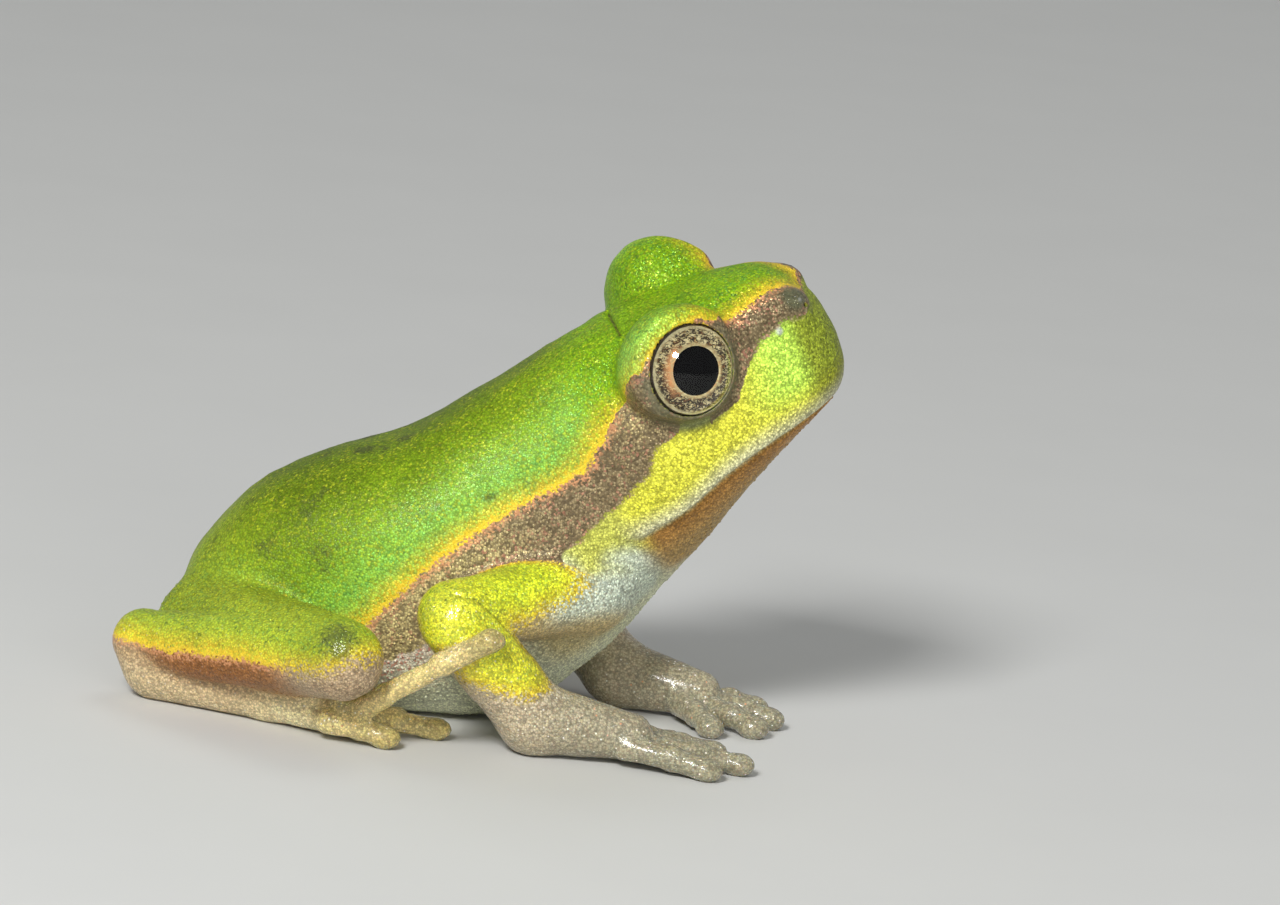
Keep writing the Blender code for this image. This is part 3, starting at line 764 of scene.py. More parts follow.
def limbGreen(name, p, side, a, b):
    # how far inside the green a point of a limb lies
    u = shareAlong(p, a, b)
    overAxis = p[2] - (a[2] + (b[2] - a[2]) * np.clip(u, 0.0, 1.0))
    if name == "upperArm":
        return overAxis - np.interp(u, (0.0, 0.15, 0.6), (0.6, 0.3, -0.2))
    if name == "forearm":
        along = np.array(b) - np.array(a)
        flat = math.hypot(along[0], along[2])
        forward = ((p[0] - a[0]) * -along[2] + (p[2] - a[2]) * along[0]) / flat
        outward = (p[1] - a[1]) * sides[side]
        return np.minimum((0.64 + 0.4 * forward - u) * 2.6, outward + 0.75)
    if name == "thigh":
        return overAxis + 0.3
    if name == "heelCap":
        return p[2] - a[2] - 0.12
    if name == "shank":
        edge = np.interp(u, (-0.13, -0.09, 0.02, 0.18, 0.38), (0.7, 0.26, -0.3, -0.22, -0.06))
        return overAxis - edge
    return np.full(u.shape, -1.0)


def edgeShare(name, p, points):
    # how strong the gold edge of the green is
    if name == "shank":
        return smoothStep(shareAlong(p, *points), 0.08, 0.3)
    return np.zeros_like(p[0]) + (0.6 if name == "heelCap" else 0.0)


patches = {  # on the body: where, full out to, gone at
    "chest": ((10.1, 2.8, -3.8), 0.8, 1.7),
    "pearl": ((11.55, 2.42, -3.2), 0.8, 1.4),
}
glints = {  # on the body: where, how big
    "noseDome": ((18.05, 1.05, 2.35), 0.42),
    "lid": ((14.1, 3.27, 3.05), 0.4),
    "ear": ((13.1, 2.85, 1.4), 0.6),
}
limbLooks = {  # over colour, under colour, glitter, specks, clearness, wetness
    "upperArm": ("upperArm", "armUnder", 1.0, 0.1, 0.1, 0.12),
    "forearm": ("forearm", "forearmUnder", 1.0, 0.45, 0.3, 0.45),
    "hand": ("forearm", "hand", 0.25, 1.0, 0.6, 0.7),
    "finger": ("forearm", "finger", 0.2, 1.0, 0.8, 0.85),
    "thigh": ("thigh", "thighUnder", 0.6, 0.0, 0.1, 0.1),
    # the shank's under colour holds painted shade for the gap over the tarsus
    "shank": ("shank", "shankUnderShade", 0.9, 0.15, 0.15, 0.15),
    "heelCap": ("shank", "tarsus", 0.3, 0.3, 0.3, 0.2),
    "tarsusRod": ("shank", "tarsus", 0.3, 0.45, 0.4, 0.3),
    "foot": ("shank", "foot", 0.25, 0.8, 0.5, 0.45),
    "toe": ("shank", "toe", 0.2, 0.8, 0.8, 0.8),
}


markNames = ("green", "mask", "glitter", "grain", "speck", "clear", "spot", "eyeRimShade", "pink", "wet", "dome",
             "bead", "rear", "edge")
markSharpness = 7.0                # how quickly one part's marks give way to the next, per millimetre


def bodyMarks(q, normal):
    s, side, t = q
    green = lineDistance(q, normal, lines["gold"])
    mask = lineDistance(q, normal, lines["mask"])
    overMouth = t - mouthLevel(s)
    toHead = smoothStep(s, 11.2, 12.8)
    fromEye = distanceTo(q, eye["centre"])
    onLid = falling(fromEye, 1.62, 1.8) * smoothStep(t, 1.6, 2.4) * smoothStep(side, 2.1, 3.0)
    # the back: olive along the top, darkened towards the ridge with painted shade, bluer green down the
    # side
    over = paint("backSide", ("back", smoothStep(green, 0.3, 2.2)),
                 ("backTopShaded", smoothStep(green, 0.8, 4.2) * 0.9), ("backRear", falling(s, 0.5, 4.5) * 0.85),
                 ("headTop", toHead), ("lid", onLid))
    green = green + 0.2 * onLid * smoothStep(green, 0.0, 0.15)
    # below the stripe: flank, chest, cheek and chin, and painted shade under the eye
    chest, pearl = (falling(distanceTo(q, place), *ends) for place, *ends in patches.values())
    lime = smoothStep(s, 15.6, 17.2) * smoothStep(t, -0.3, 0.6)
    # the darker front face of the snout is partly painted shade
    cheek = paint("cheek", ("snoutSide", lime), ("snoutFront", smoothStep(s, 17.35, 17.95) * 0.85),
                  ("lip", falling(overMouth, 0.05, 0.75) * 0.85))
    onCheek = smoothStep(s, 11.6, 12.5) * smoothStep(overMouth, -0.12, 0.02)
    chin = smoothStep(s, 11.9, 14.3 - 1.6 * smoothStep(side, 0.8, 2.2)) * falling(overMouth, -0.1, 0.02)
    # orange-brown by the lip to paler down the middle; the darker amber is partly painted shade under the
    # lip and jaw
    throat = paint("throatMiddle", ("throat", smoothStep(side, 0.7, 2.0)),
                   ("jaw", falling(-overMouth, 0.15, 1.1)))
    # painted shade: a dark grey-green band just under the eye
    shadedBelowEye = falling(fromEye, 1.5, 1.75) * smoothStep(2.5 - t, 0.0, 0.6)
    under = paint("flank", ("belly", smoothStep(-t, 2.0, 3.6)), ("chest", chest * 0.8),
                  ("neckSide", smoothStep(s, 9.1, 9.9) * falling(-t, 2.2, 2.9)), ("pearl", pearl),
                  (cheek, onCheek), (throat, chin), ("shadeUnderEye", shadedBelowEye * 0.75))
    glitter = 0.55 + 0.45 * smoothStep(overMouth, -0.2, 0.2) * toHead
    grain = smoothStep(-t, 1.2, 2.6) * falling(green, -0.6, 0.0)
    grain = np.maximum(grain * (1.0 - 0.6 * toHead), 0.5 * chin)
    spot = sum(dark * blob(q, place, size) for place, size, dark in spots["back"])
    # painted shade: a darker ring round the lower rim of the eye, where the ball sinks into its socket
    eyeRimShade = falling(fromEye, 1.36, 1.62) * falling(t, 2.5, 3.2)
    dome, lid, ear = (blob(q, *glint) for glint in glints.values())
    bead = sum(pale * blob(q, place, size) for place, size, _, pale in beads)
    rear = np.maximum(falling(s, 7.0, 10.8), 0.6 * ear)
    pink = smoothStep(9.8 - s, 0.0, 1.5) * smoothStep(-t, 0.8, 1.6) * falling(-t, 2.8, 4.0)
    return dict(
        green=green, mask=mask, over=over, under=under, glitter=glitter, grain=grain, spot=spot, eyeRimShade=eyeRimShade,
        pink=pink, dome=dome, bead=bead, rear=rear, speck=0.2 * pearl, clear=0.08 + 0 * s,
        wet=0.04 + 0.8 * dome + 0.6 * (lid + bead), edge=1.0 + 0 * s,
    )


def limbMarks(name, side, points, p):
    over, under, glitter, speck, clear, wet = limbLooks[name]
    blank = np.zeros_like(p[0])
    u = shareAlong(p, points[0], points[1])
    stripe, gloss, spot, coats = blank - 2.0, blank + wet, blank, []
    if name in ("thigh", "shank"):
        size, dark = spots["knee"]
        spot = dark * blob(p, beside("knee", side, (-0.1, 0.72, 0.72)), size)
        spot = spot * (distanceTo(p, sideJoint("knee", side)) < 5.0)
    if name == "upperArm":
        high = p[2] - 3.4 - 0.5 * (1.0 - np.clip(u, 0.0, 1.0))
        coats = [("pearl", falling(u, 0.3, 0.6) * smoothStep(high, -0.8, -0.1)),
                 ("neckSide", smoothStep(high, 0.45, 0.8) * falling(u, 0.1, 0.3))]
        stripe = stripe + 3.0 * smoothStep(high, 0.2, 0.55) * smoothStep(u, 0.15, 0.35)
    if name in ("upperArm", "forearm"):
        gloss = gloss + 0.9 * blob(p, beside("elbow", side, (-0.2, 0.7, 0.35)), 0.9)
    if name == "toe":
        coats = [("toeTip", blob(p, points[-1], 0.55))]
    if name == "shank":
        coats = [("kneeUnder", falling(u, 0.05, 0.3))]
    marks = dict.fromkeys(markNames, blank)
    marks.update(
        green=limbGreen(name, p, side, points[0], points[1]), mask=stripe, spot=spot,
        over=blank[..., None] + colours[over], under=paint(blank[..., None] + colours[under], *coats),
        glitter=blank + glitter, speck=blank + speck, clear=blank + clear, wet=gloss + 0.9 * spot,
        grain=blank + (0.9 if name == "thigh" else 0.15), pink=blank + 0.1,
        edge=edgeShare(name, p, points),
    )
    return marks


def skinMarks(p):
    # every marking at each point, the body's and the limbs' mixed by how near each one is
    s, y, t = headFrame(p)
    q = (s, np.abs(y), t)
    step = 0.01
    slope = gradient(p, skinField)
    s2, y2, t2 = headFrame([p[i] + slope[i] * step for i in range(3)])
    normal = [(b - a) / step for a, b in zip(q, (s2, np.abs(y2), t2))]
    parts = [(bodyMarks(q, normal), headDetail(loftedBody(s, y, t), q))]
    for _, chain in chains:
        for name, side, points, _, field, _ in chain:
            parts.append((limbMarks(name, side, points, p), field(p)))
    nearest = np.min(np.stack([away for _, away in parts]), axis=0)
    weights = [np.exp(-markSharpness * (away - nearest)) for _, away in parts]
    total = sum(weights)
    columns = []
    for key in markNames:
        columns.append(sum(m[key] * w for (m, _), w in zip(parts, weights)) / total)
    for key in ("over", "under"):
        mixed = sum(m[key] * w[..., None] for (m, _), w in zip(parts, weights)) / total[..., None]
        columns += [mixed[..., i] for i in range(3)]
    # painted shade along the folds: darkest on their line, fading out over their width
    columns.append(sum(dark * np.exp(-((onSkin(p, line, out) / (0.75 * width)) ** 2))
                       for line, out, _, width, dark in creases.values()))
    return np.stack(columns, axis=-1)


def markSkin(mesh, points):
    marks = inChunks(skinMarks, points).astype(np.float32)
    for name, column in zip((*markNames, "foldShade"), (*range(len(markNames)), -1)):
        mesh.attributes.new(name, "FLOAT", "POINT").data.foreach_set("value", marks[:, column].copy())
    for first, name in zip((len(markNames), len(markNames) + 3), ("over", "under")):
        full = np.concatenate([marks[:, first:first + 3], np.ones((len(marks), 1), np.float32)], axis=1)
        mesh.attributes.new(name, "FLOAT_COLOR", "POINT").data.foreach_set("color", full.ravel())


markSkin(skinPiece.data, points)
say("markings laid out")


class Nodes:
    # a material's tree, with short ways to add to it
    def __init__(self, name):
        self.material = bpy.data.materials.new(name)
        self.material.use_nodes = True
        self.tree = self.material.node_tree
        self.shader = self.tree.nodes["Principled BSDF"]

    def feed(self, node, values):
        # each value goes into the input of that name or number
        for name, value in values.items():
            socket = node.inputs[name]
            if isinstance(value, bpy.types.NodeSocket):
                self.tree.links.new(value, socket)
            elif isinstance(value, tuple) and socket.type == "RGBA":
                socket.default_value = (*value, 1.0)
            else:
                socket.default_value = value

    def add(self, kind, values, **settings):
        node = self.tree.nodes.new(kind)
        for name, value in settings.items():
            setattr(node, name, value)
        self.feed(node, values)
        return node

    def maths(self, operation, out, *values):
        for value in values:
            out = self.add("ShaderNodeMath", {0: out, 1: value}, operation=operation).outputs[0]
        return out

    def times(self, *values):
        return self.maths("MULTIPLY", *values)

    def plus(self, *values):
        return self.maths("ADD", *values)

    def vector(self, operation, *values):
        node = self.add("ShaderNodeVectorMath", dict(enumerate(values)), operation=operation)
        return node.outputs["Value" if operation == "DOT_PRODUCT" else "Vector"]

    def ramp(self, value, low, high, start=0.0, end=1.0):
        values = dict(enumerate((value, low, high, start, end)))
        return self.add("ShaderNodeMapRange", values, interpolation_type="SMOOTHSTEP").outputs["Result"]

    def band(self, value, inner, outer):
        # 1 between two soft edges
        return self.times(self.ramp(value, *inner), self.ramp(value, *outer, 1.0, 0.0))

    def sway(self, value, size):
        # this far to either side of nothing
        return self.times(self.plus(value, -0.5), size)

    def mix(self, share, a, b, blend="MIX"):
        node = self.add("ShaderNodeMix", {0: share, 6: a, 7: b}, data_type="RGBA", blend_type=blend)
        return node.outputs[2]

    def paint(self, colour, *coats):
        # coats laid one over another, each a colour and how much shows of it
        for coat, share in coats:
            colour = self.mix(share, colour, coat)
        return colour

    def grey(self, value):
        return self.add("ShaderNodeCombineColor", {0: value, 1: value, 2: value}).outputs[0]

    def marked(self, name, kind="Fac"):
        return self.add("ShaderNodeAttribute", {}, attribute_name=name).outputs[kind]

    def place(self):
        return self.add("ShaderNodeTexCoord", {}).outputs["Object"]

    def noise(self, where, size, detail=2.0):
        values = {"Vector": where, "Scale": 1.0 / (size * mm), "Detail": detail}
        return self.add("ShaderNodeTexNoise", values).outputs["Fac"]

    def cells(self, where, size):
        node = self.add("ShaderNodeTexVoronoi", {"Vector": where, "Scale": 1.0 / (size * mm)})
        return node, self.add("ShaderNodeSeparateColor", {0: node.outputs["Color"]}).outputs

    def bump(self, height, strength=1.0):
        values = {"Height": height, "Strength": strength, "Distance": mm}
        return self.add("ShaderNodeBump", values).outputs[0]


skinLook = {
    "cell": 0.058,                 # size of one grain of colour
    "film": 0.4,                   # how far the wet film follows the grain
    "speck": 0.15,                 # spacing of the pale specks on hands and feet
    "jitter": (0.3, 0.14),         # how far edges wander, by cloud and by grain
    "overTone": ((0.74, 1.24), (1.05, 0.78)),   # from grain to grain, and from a grain to its gap
    "underTone": ((0.68, 1.26), (1.06, 0.76)),
    "orangeBand": ((-0.26, -0.1), (-0.02, 0.06)),  # two lines along the edge of the green
    "goldBand": ((-0.06, 0.02), (0.06, 0.22)),
    "gold": (0.84, 0.59, 0.035),
    "orange": (0.70, 0.33, 0.16),
    "stripeDark": (0.13, 0.095, 0.05),
    "stripeLight": (0.40, 0.31, 0.16),
    "stripeRear": (0.84, 0.69, 0.30),
    "noseDome": (0.11, 0.115, 0.06),
    # painted shade round the lower rim of the eye
    "eyeRimShade": (0.15, 0.155, 0.09),
    "mint": (0.12, 0.55, 0.16),
    "lemon": (0.66, 0.68, 0.03),
    "spotColour": (0.055, 0.065, 0.018),
    # painted shade along the folds
    "creaseShade": (0.075, 0.06, 0.015),
    "pinkColour": (0.62, 0.26, 0.18),
    "speckColour": (0.92, 0.90, 0.80),
    "darkSpeck": (0.09, 0.085, 0.05),
    "beadColour": (0.56, 0.57, 0.55),
}


def skinMaterial():
    n = Nodes("frog_skin")
    look = skinLook
    where = n.place()
    grain, (r, g, b) = n.cells(where, look["cell"])
    gap = n.ramp(grain.outputs["Distance"], 0.28, 0.66)
    cloud = n.noise(where, 0.42, 3.0)
    broad = n.noise(where, 1.8)
    byCloud, byGrain = look["jitter"]
    wander = n.plus(n.sway(cloud, byCloud), n.sway(r, byGrain))
    green = n.plus(n.marked("green"), wander)
    mask = n.plus(n.marked("mask"), wander)

    def toned(colour, tones, *more):
        byGrain, byGap = tones
        tone = n.times(n.ramp(r, 0.0, 1.0, *byGrain), n.ramp(gap, 0.0, 1.0, *byGap), *more)
        return n.mix(1.0, colour, n.grey(tone), "MULTIPLY")

    # green side
    low = n.ramp(green, 0.3, 3.0, 1.0, 0.0)
    over = n.paint(
        n.marked("over", "Color"),
        (look["mint"], n.times(n.ramp(g, 0.55, 0.95), low, 0.3)),
        (look["lemon"], n.times(n.ramp(b, 0.6, 0.95), n.ramp(cloud, 0.35, 0.65, 0.12, 0.46))),
        (look["gold"], n.times(n.ramp(green, 0.05, 0.75, 1.0, 0.0), n.ramp(g, 0.1, 0.7, 0.35, 0.9))),
    )
    over = toned(over, look["overTone"], n.ramp(broad, 0.3, 0.7, 0.88, 1.1))
    dots = n.times(n.ramp(r, 0.86, 0.9), n.ramp(cloud, 0.45, 0.6), 0.55)
    spot = n.ramp(n.plus(n.marked("spot"), n.sway(cloud, 0.7), n.sway(g, 0.3)), 0.2, 0.72)
    over = n.paint(over, (look["spotColour"], dots), (look["spotColour"], n.times(spot, 0.75)))

    # the dark stripe
    rear = n.marked("rear")
    lit = n.times(n.ramp(r, 0.1, 0.9), n.ramp(gap, 0.0, 1.0, 1.0, 0.4), n.ramp(cloud, 0.3, 0.6, 0.5, 1.0))
    stripe = n.paint(
        look["stripeDark"],
        (n.mix(rear, look["stripeLight"], look["stripeRear"]), n.plus(lit, n.times(rear, 0.14))),
        (look["pinkColour"], n.times(n.ramp(b, 0.8, 0.9), n.ramp(cloud, 0.4, 0.6), 0.5)),
    )

    # below it
    under = toned(n.marked("under", "Color"), look["underTone"])
    under = n.mix(n.times(n.ramp(g, 0.72, 0.82), n.marked("pink"), 0.8), under, look["pinkColour"])

    # all three, and the lines between them
    onEdge = n.marked("edge")
    soft = n.ramp(onEdge, 0.0, 1.0, 0.45, 0.06)
    inGreen = n.maths("DIVIDE", n.plus(green, n.sway(g, soft)), soft)
    base = n.paint(
        under,
        (stripe, n.ramp(mask, -0.06, 0.08)),
        (over, n.ramp(inGreen, -0.4, 0.6)),
        (look["orange"], n.times(n.band(green, *look["orangeBand"]), onEdge, n.ramp(g, 0.2, 0.6), 0.8)),
        (look["gold"], n.times(n.band(green, *look["goldBand"]), onEdge, n.ramp(b, 0.0, 0.6, 0.35, 1.0))),
    )

    # specks, then the marks of the head, and painted shade round the eye and along the folds
    speck, (sr, sg, sb) = n.cells(where, look["speck"])
    away, share = speck.outputs["Distance"], n.marked("speck")
    onSpeck = n.times(n.ramp(away, 0.12, 0.2, 1.0, 0.0), n.ramp(sr, 0.35, 0.4), share)
    onDark = n.times(n.ramp(sb, 0.86, 0.9), n.ramp(away, 0.1, 0.2, 1.0, 0.0), share, 0.75)
    base = n.paint(
        base,
        (n.mix(n.ramp(sg, 0.82, 0.86), look["speckColour"], look["orange"]), onSpeck),
        (look["darkSpeck"], onDark),
        # painted shade round the lower rim of the eye
        (look["eyeRimShade"], n.times(n.marked("eyeRimShade"), 0.6)),
        (look["noseDome"], n.ramp(n.marked("dome"), 0.25, 0.75, 0.0, 0.9)),
        # pale of the beads, on the nostril's dome partly painted highlight
        (look["beadColour"], n.ramp(n.marked("bead"), 0.2, 0.7, 0.0, 0.85)),
        # painted shade along the folds
        (look["creaseShade"], n.ramp(n.marked("foldShade"), 0.25, 0.95, 0.0, 0.92)),
    )

    # relief: rounded grains, each one tilted its own way
    tilt = n.vector("SUBTRACT", grain.outputs["Color"], (0.5, 0.5, 0.5))
    facing = n.vector("DOT_PRODUCT", n.vector("SUBTRACT", where, grain.outputs["Position"]), tilt)
    facet = n.times(facing, 0.5 / mm, n.marked("glitter"))
    height = n.plus(facet, n.times(gap, -0.006), n.times(n.noise(where, 0.05), 0.004))
    wet = n.marked("wet")
    shine = n.times(n.ramp(g, 0.45, 0.9), n.marked("glitter"))
    spark = n.times(n.ramp(r, 0.8, 0.84), n.ramp(n.plus(wet, n.times(cloud, 0.3)), 0.2, 0.5))
    n.feed(n.shader, {
        "Base Color": base, "Normal": n.bump(height), "Metallic": n.times(shine, 0.45),
        "Roughness": n.plus(n.ramp(shine, 0.0, 1.0, 0.46, 0.28), n.times(spark, -0.16)),
        "Subsurface Weight": n.marked("clear"), "Subsurface Radius": (1.0, 0.6, 0.3),
        "Subsurface Scale": 0.3 * mm, "Coat Weight": wet, "Coat Roughness": 0.1,
        "Coat Normal": n.bump(height, look["film"]), "IOR": 1.3,
    })
    return n.material


irisLook = {
    "pale": ((0.70, 0.62, 0.34), (0.40, 0.30, 0.11)),  # between the veins, in clouds
    "veins": (0.02, 0.011, 0.005),
    "glow": (0.62, 0.25, 0.08),
    # painted highlight: an orange glow by the pupil that stands for light reflected in the eye
    "paintedHighlight": (0.90, 0.42, 0.16),    # ahead of the pupil
    "inner": (0.50, 0.40, 0.20),   # the line round the pupil
    "innerBand": ((0.555, 0.58), (0.6, 0.67)),
    "outer": (0.58, 0.54, 0.32),   # the line round the iris
    "outerBand": ((0.98, 1.02), (1.07, 1.09)),
    "rim": (0.03, 0.02, 0.012),
    "veinScale": 8.5,
}


def irisMaterial():
    n = Nodes("frog_iris")
    look = irisLook
    ring, flat = n.marked("ring"), n.marked("flat", "Vector")
    stretched = n.vector("MULTIPLY", flat, (1.0, 1.6, 1.0))
    values = {"Vector": stretched, "Scale": 7.0, "Detail": 4.0, "Distortion": 1.2}
    clouds = n.add("ShaderNodeTexNoise", values).outputs
    cloud = clouds["Fac"]
    bent = n.vector("MULTIPLY_ADD", clouds["Color"], (0.35, 0.35, 0.35), stretched)
    veins = n.add("ShaderNodeTexVoronoi", {"Vector": bent, "Scale": look["veinScale"]},
                  feature="DISTANCE_TO_EDGE").outputs["Distance"]
    ahead, up, _ = n.add("ShaderNodeSeparateXYZ", {0: flat}).outputs
    thick = n.plus(veins, n.times(n.plus(cloud, -0.46), -0.9), n.times(n.ramp(up, 0.15, -0.6), -0.05))
    middle = n.times(n.ramp(ring, 0.57, 0.67), n.ramp(ring, 0.94, 1.05, 1.0, 0.2))
    glow = n.times(n.ramp(cloud, 0.55, 0.68), n.ramp(ring, 0.6, 0.8, 1.0, 0.3))
    # painted highlight: the orange glow of reflected light beside the pupil
    paintedHighlight = n.times(n.ramp(ahead, 0.35, 0.62), n.ramp(ring, 0.6, 0.86, 1.0, 0.0))
    colour = n.paint(
        n.mix(n.ramp(cloud, 0.4, 0.6), *look["pale"]),
        (look["veins"], n.times(n.ramp(thick, 0.05, 0.14, 1.0, 0.0), middle)),
        (look["glow"], n.times(glow, 0.6)),
        (look["paintedHighlight"], n.times(paintedHighlight, n.ramp(cloud, 0.3, 0.55, 0.35, 0.85))),
        (look["inner"], n.times(n.band(ring, *look["innerBand"]), n.ramp(cloud, 0.35, 0.6, 0.9, 0.25))),
        (look["outer"], n.times(n.band(ring, *look["outerBand"]), n.ramp(cloud, 0.3, 0.65, 0.95, 0.45))),
        (look["rim"], n.ramp(ring, 1.08, 1.12)),
    )
    n.feed(n.shader, {"Base Color": colour, "Normal": n.bump(n.times(veins, 0.06)), "Roughness": 0.34,
                      "Metallic": n.times(n.ramp(ring, 0.56, 0.62), 0.35)})
    return n.material


def plainMaterial(name, values):
    n = Nodes(name)
    n.feed(n.shader, values)
    return n.material


# low grains on the belly, throat and thighs
granules = {
    "Spacing": 0.15 * mm,          # the least, between neighbours
    "Most": 46.0e6,                # how many to the square metre
    "Radius": 0.055 * mm,
    "Smallest": 0.6,               # against the largest
    "Flatness": 0.45,
    "Seed": 17,
}


def granuleNodes(material):
    tree = bpy.data.node_groups.new("granules", "GeometryNodeTree")
    tree.interface.new_socket("Skin", in_out="INPUT", socket_type="NodeSocketGeometry")
    for name in granules:
        kind = "NodeSocketInt" if name == "Seed" else "NodeSocketFloat"
        tree.interface.new_socket(name, in_out="INPUT", socket_type=kind)
    tree.interface.new_socket("Granules", in_out="OUTPUT", socket_type="NodeSocketGeometry")
    node = {name: tree.nodes.new(kind) for name, kind in (
        ("given", "NodeGroupInput"), ("result", "NodeGroupOutput"),
        ("amount", "GeometryNodeInputNamedAttribute"), ("share", "ShaderNodeMapRange"),
        ("spread", "GeometryNodeDistributePointsOnFaces"), ("bead", "GeometryNodeMeshIcoSphere"),
        ("size", "FunctionNodeRandomValue"), ("low", "ShaderNodeMath"), ("scale", "ShaderNodeCombineXYZ"),
        ("place", "GeometryNodeInstanceOnPoints"), ("real", "GeometryNodeRealizeInstances"),
        ("smooth", "GeometryNodeSetShadeSmooth"), ("paint", "GeometryNodeSetMaterial"),
    )}
    node["spread"].distribute_method = "POISSON"
    node["low"].operation = "MULTIPLY"
    for name, socket, value in (
        ("amount", "Name", "grain"), ("share", "From Min", 0.25), ("share", "From Max", 0.8),
        ("bead", "Subdivisions", 1), ("size", 3, 1.0), ("paint", "Material", material),
    ):
        node[name].inputs[socket].default_value = value
    for start, output, end, socket in (
        # thickest where the belly is granular, none on the smooth back
        ("given", "Skin", "spread", "Mesh"), ("given", "Spacing", "spread", "Distance Min"),
        ("given", "Most", "spread", "Density Max"), ("given", "Seed", "spread", "Seed"),
        ("amount", "Attribute", "share", "Value"), ("share", "Result", "spread", "Density Factor"),
        # one low dome, set along the skin's own direction
        ("given", "Radius", "bead", "Radius"), ("given", "Smallest", "size", 2),
        ("given", "Seed", "size", "Seed"), ("size", 1, "low", 0), ("given", "Flatness", "low", 1),
        ("size", 1, "scale", "X"), ("size", 1, "scale", "Y"), ("low", 0, "scale", "Z"),
        ("spread", "Points", "place", "Points"),
        ("spread", "Rotation", "place", "Rotation"), ("bead", "Mesh", "place", "Instance"),
        ("scale", 0, "place", "Scale"), ("place", "Instances", "real", "Geometry"),
        ("real", "Geometry", "smooth", "Geometry"), ("smooth", "Geometry", "paint", "Geometry"),
        ("paint", "Geometry", "result", "Granules"),
    ):
        tree.links.new(node[start].outputs[output], node[end].inputs[socket])
    return tree


def makeGranules(skinMesh, material):
    piece = putIn("granules", skinMesh)
    tree = granuleNodes(material)
    grow = piece.modifiers.new("Granules", "NODES")
    grow.node_group = tree
    for item in tree.interface.items_tree:
        if item.in_out == "INPUT" and item.name in granules:
            grow[item.identifier] = granules[item.name]
    made = withModifiers(piece, "granules")
    say(f"{len(made.polygons) // 20} granules")
    return piece


# each eye is an opaque ball with its iris and pupil, and a clear front over them
eyeball = {
    "ball": 1.262,
    "limbus": 62.3,                # degrees from the gaze
    # the iris from its edge to the pupil: (distance from the middle, level)
    "iris": ((1.105, 0.58), (1.08, 0.56), (0.95, 0.57), (0.8, 0.6), (0.66, 0.635), (0.58, 0.655),
             (0.55, 0.645), (0.53, 0.6), (0.45, 0.62), (0.3, 0.66), (0.15, 0.685)),
    "lens": (0.0, 0.69),
    "pupil": 0.551,
    "front": 1.276,
    "frontEdge": 66.0,
    "back": 0.4,                   # the clear front is closed behind at this level
    "around": 96,
    "gap": 0.06,                   # rings lie no further apart
}


notIris = 2.0                      # what the iris reads where there is none: far outside its edge


def eyeAxes(side):
    # the middle of the eye, its gaze, and two directions across it
    x, y, z = eye["centre"]
    middle = np.array(fromHead(x, y * sides[side], z))
    out = np.array(fromHead(x + gaze[0], (y + gaze[1]) * sides[side], z + gaze[2])) - middle
    ahead = np.cross(out, (0.0, 0.0, 1.0)) * -sides[side]
    ahead /= np.linalg.norm(ahead)
    return middle, out, ahead, np.cross(ahead, out) * -sides[side]


def turned(name, profile, side, around):
    # a closed turned body: the profile runs from the back pole to the front pole
    middle, out, ahead, up = eyeAxes(side)
    angle = np.arange(around) * 2 * math.pi / around
    across = np.cos(angle)[:, None] * ahead + np.sin(angle)[:, None] * up
    rings = profile[1:-1]
    rows = [middle + level * out + radius * across for radius, level in rings]
    places = [middle + profile[0][1] * out, *np.concatenate(rows), middle + profile[-1][1] * out]
    faces, last = [], len(places) - 1
    for i in range(around):
        j = (i + 1) % around
        faces.append((0, 1 + j, 1 + i))
        for row in range(len(rows) - 1):
            a, b = 1 + row * around, 1 + (row + 1) * around
            faces.append((a + i, a + j, b + j, b + i))
        tip = 1 + (len(rows) - 1) * around
        faces.append((tip + i, tip + j, last))
    mesh = bpy.data.meshes.new(name)
    mesh.from_pydata([toWorld(p) for p in places], [], faces)
    if signedVolume(mesh) < 0.0:
        mesh.flip_normals()
    mesh.shade_smooth()
    # the iris reads how far out a point lies, and where, as seen along the gaze
    ring = [radius if level > eyeball["back"] else notIris for radius, level in rings for _ in angle]
    ring = [0.0 if profile[0][1] > 0 else notIris, *ring, 0.0]
    spokes = [(math.cos(a), math.sin(a)) for a in angle]
    flat = np.zeros((len(places), 3))
    flat[1:-1, :2] = [(x * radius, y * radius) for radius, _ in rings for x, y in spokes]
    mesh.attributes.new("ring", "FLOAT", "POINT").data.foreach_set("value", ring)
    mesh.attributes.new("flat", "FLOAT_VECTOR", "POINT").data.foreach_set("vector", flat.ravel())
    return putIn(name, mesh)


def arc(radius, start, end, count):
    turns = np.radians(np.linspace(start, end, count))
    return [(radius * math.sin(a), radius * math.cos(a)) for a in turns]


def finer(profile, gap):
    # more points along a profile, so that its rings are close enough
    out = [profile[0]]
    for a, b in zip(profile, profile[1:]):
        count = max(1, math.ceil(math.dist(a, b) / gap))
        out += [tuple(np.array(a) + (np.array(b) - a) * i / count) for i in range(1, count + 1)]
    return out


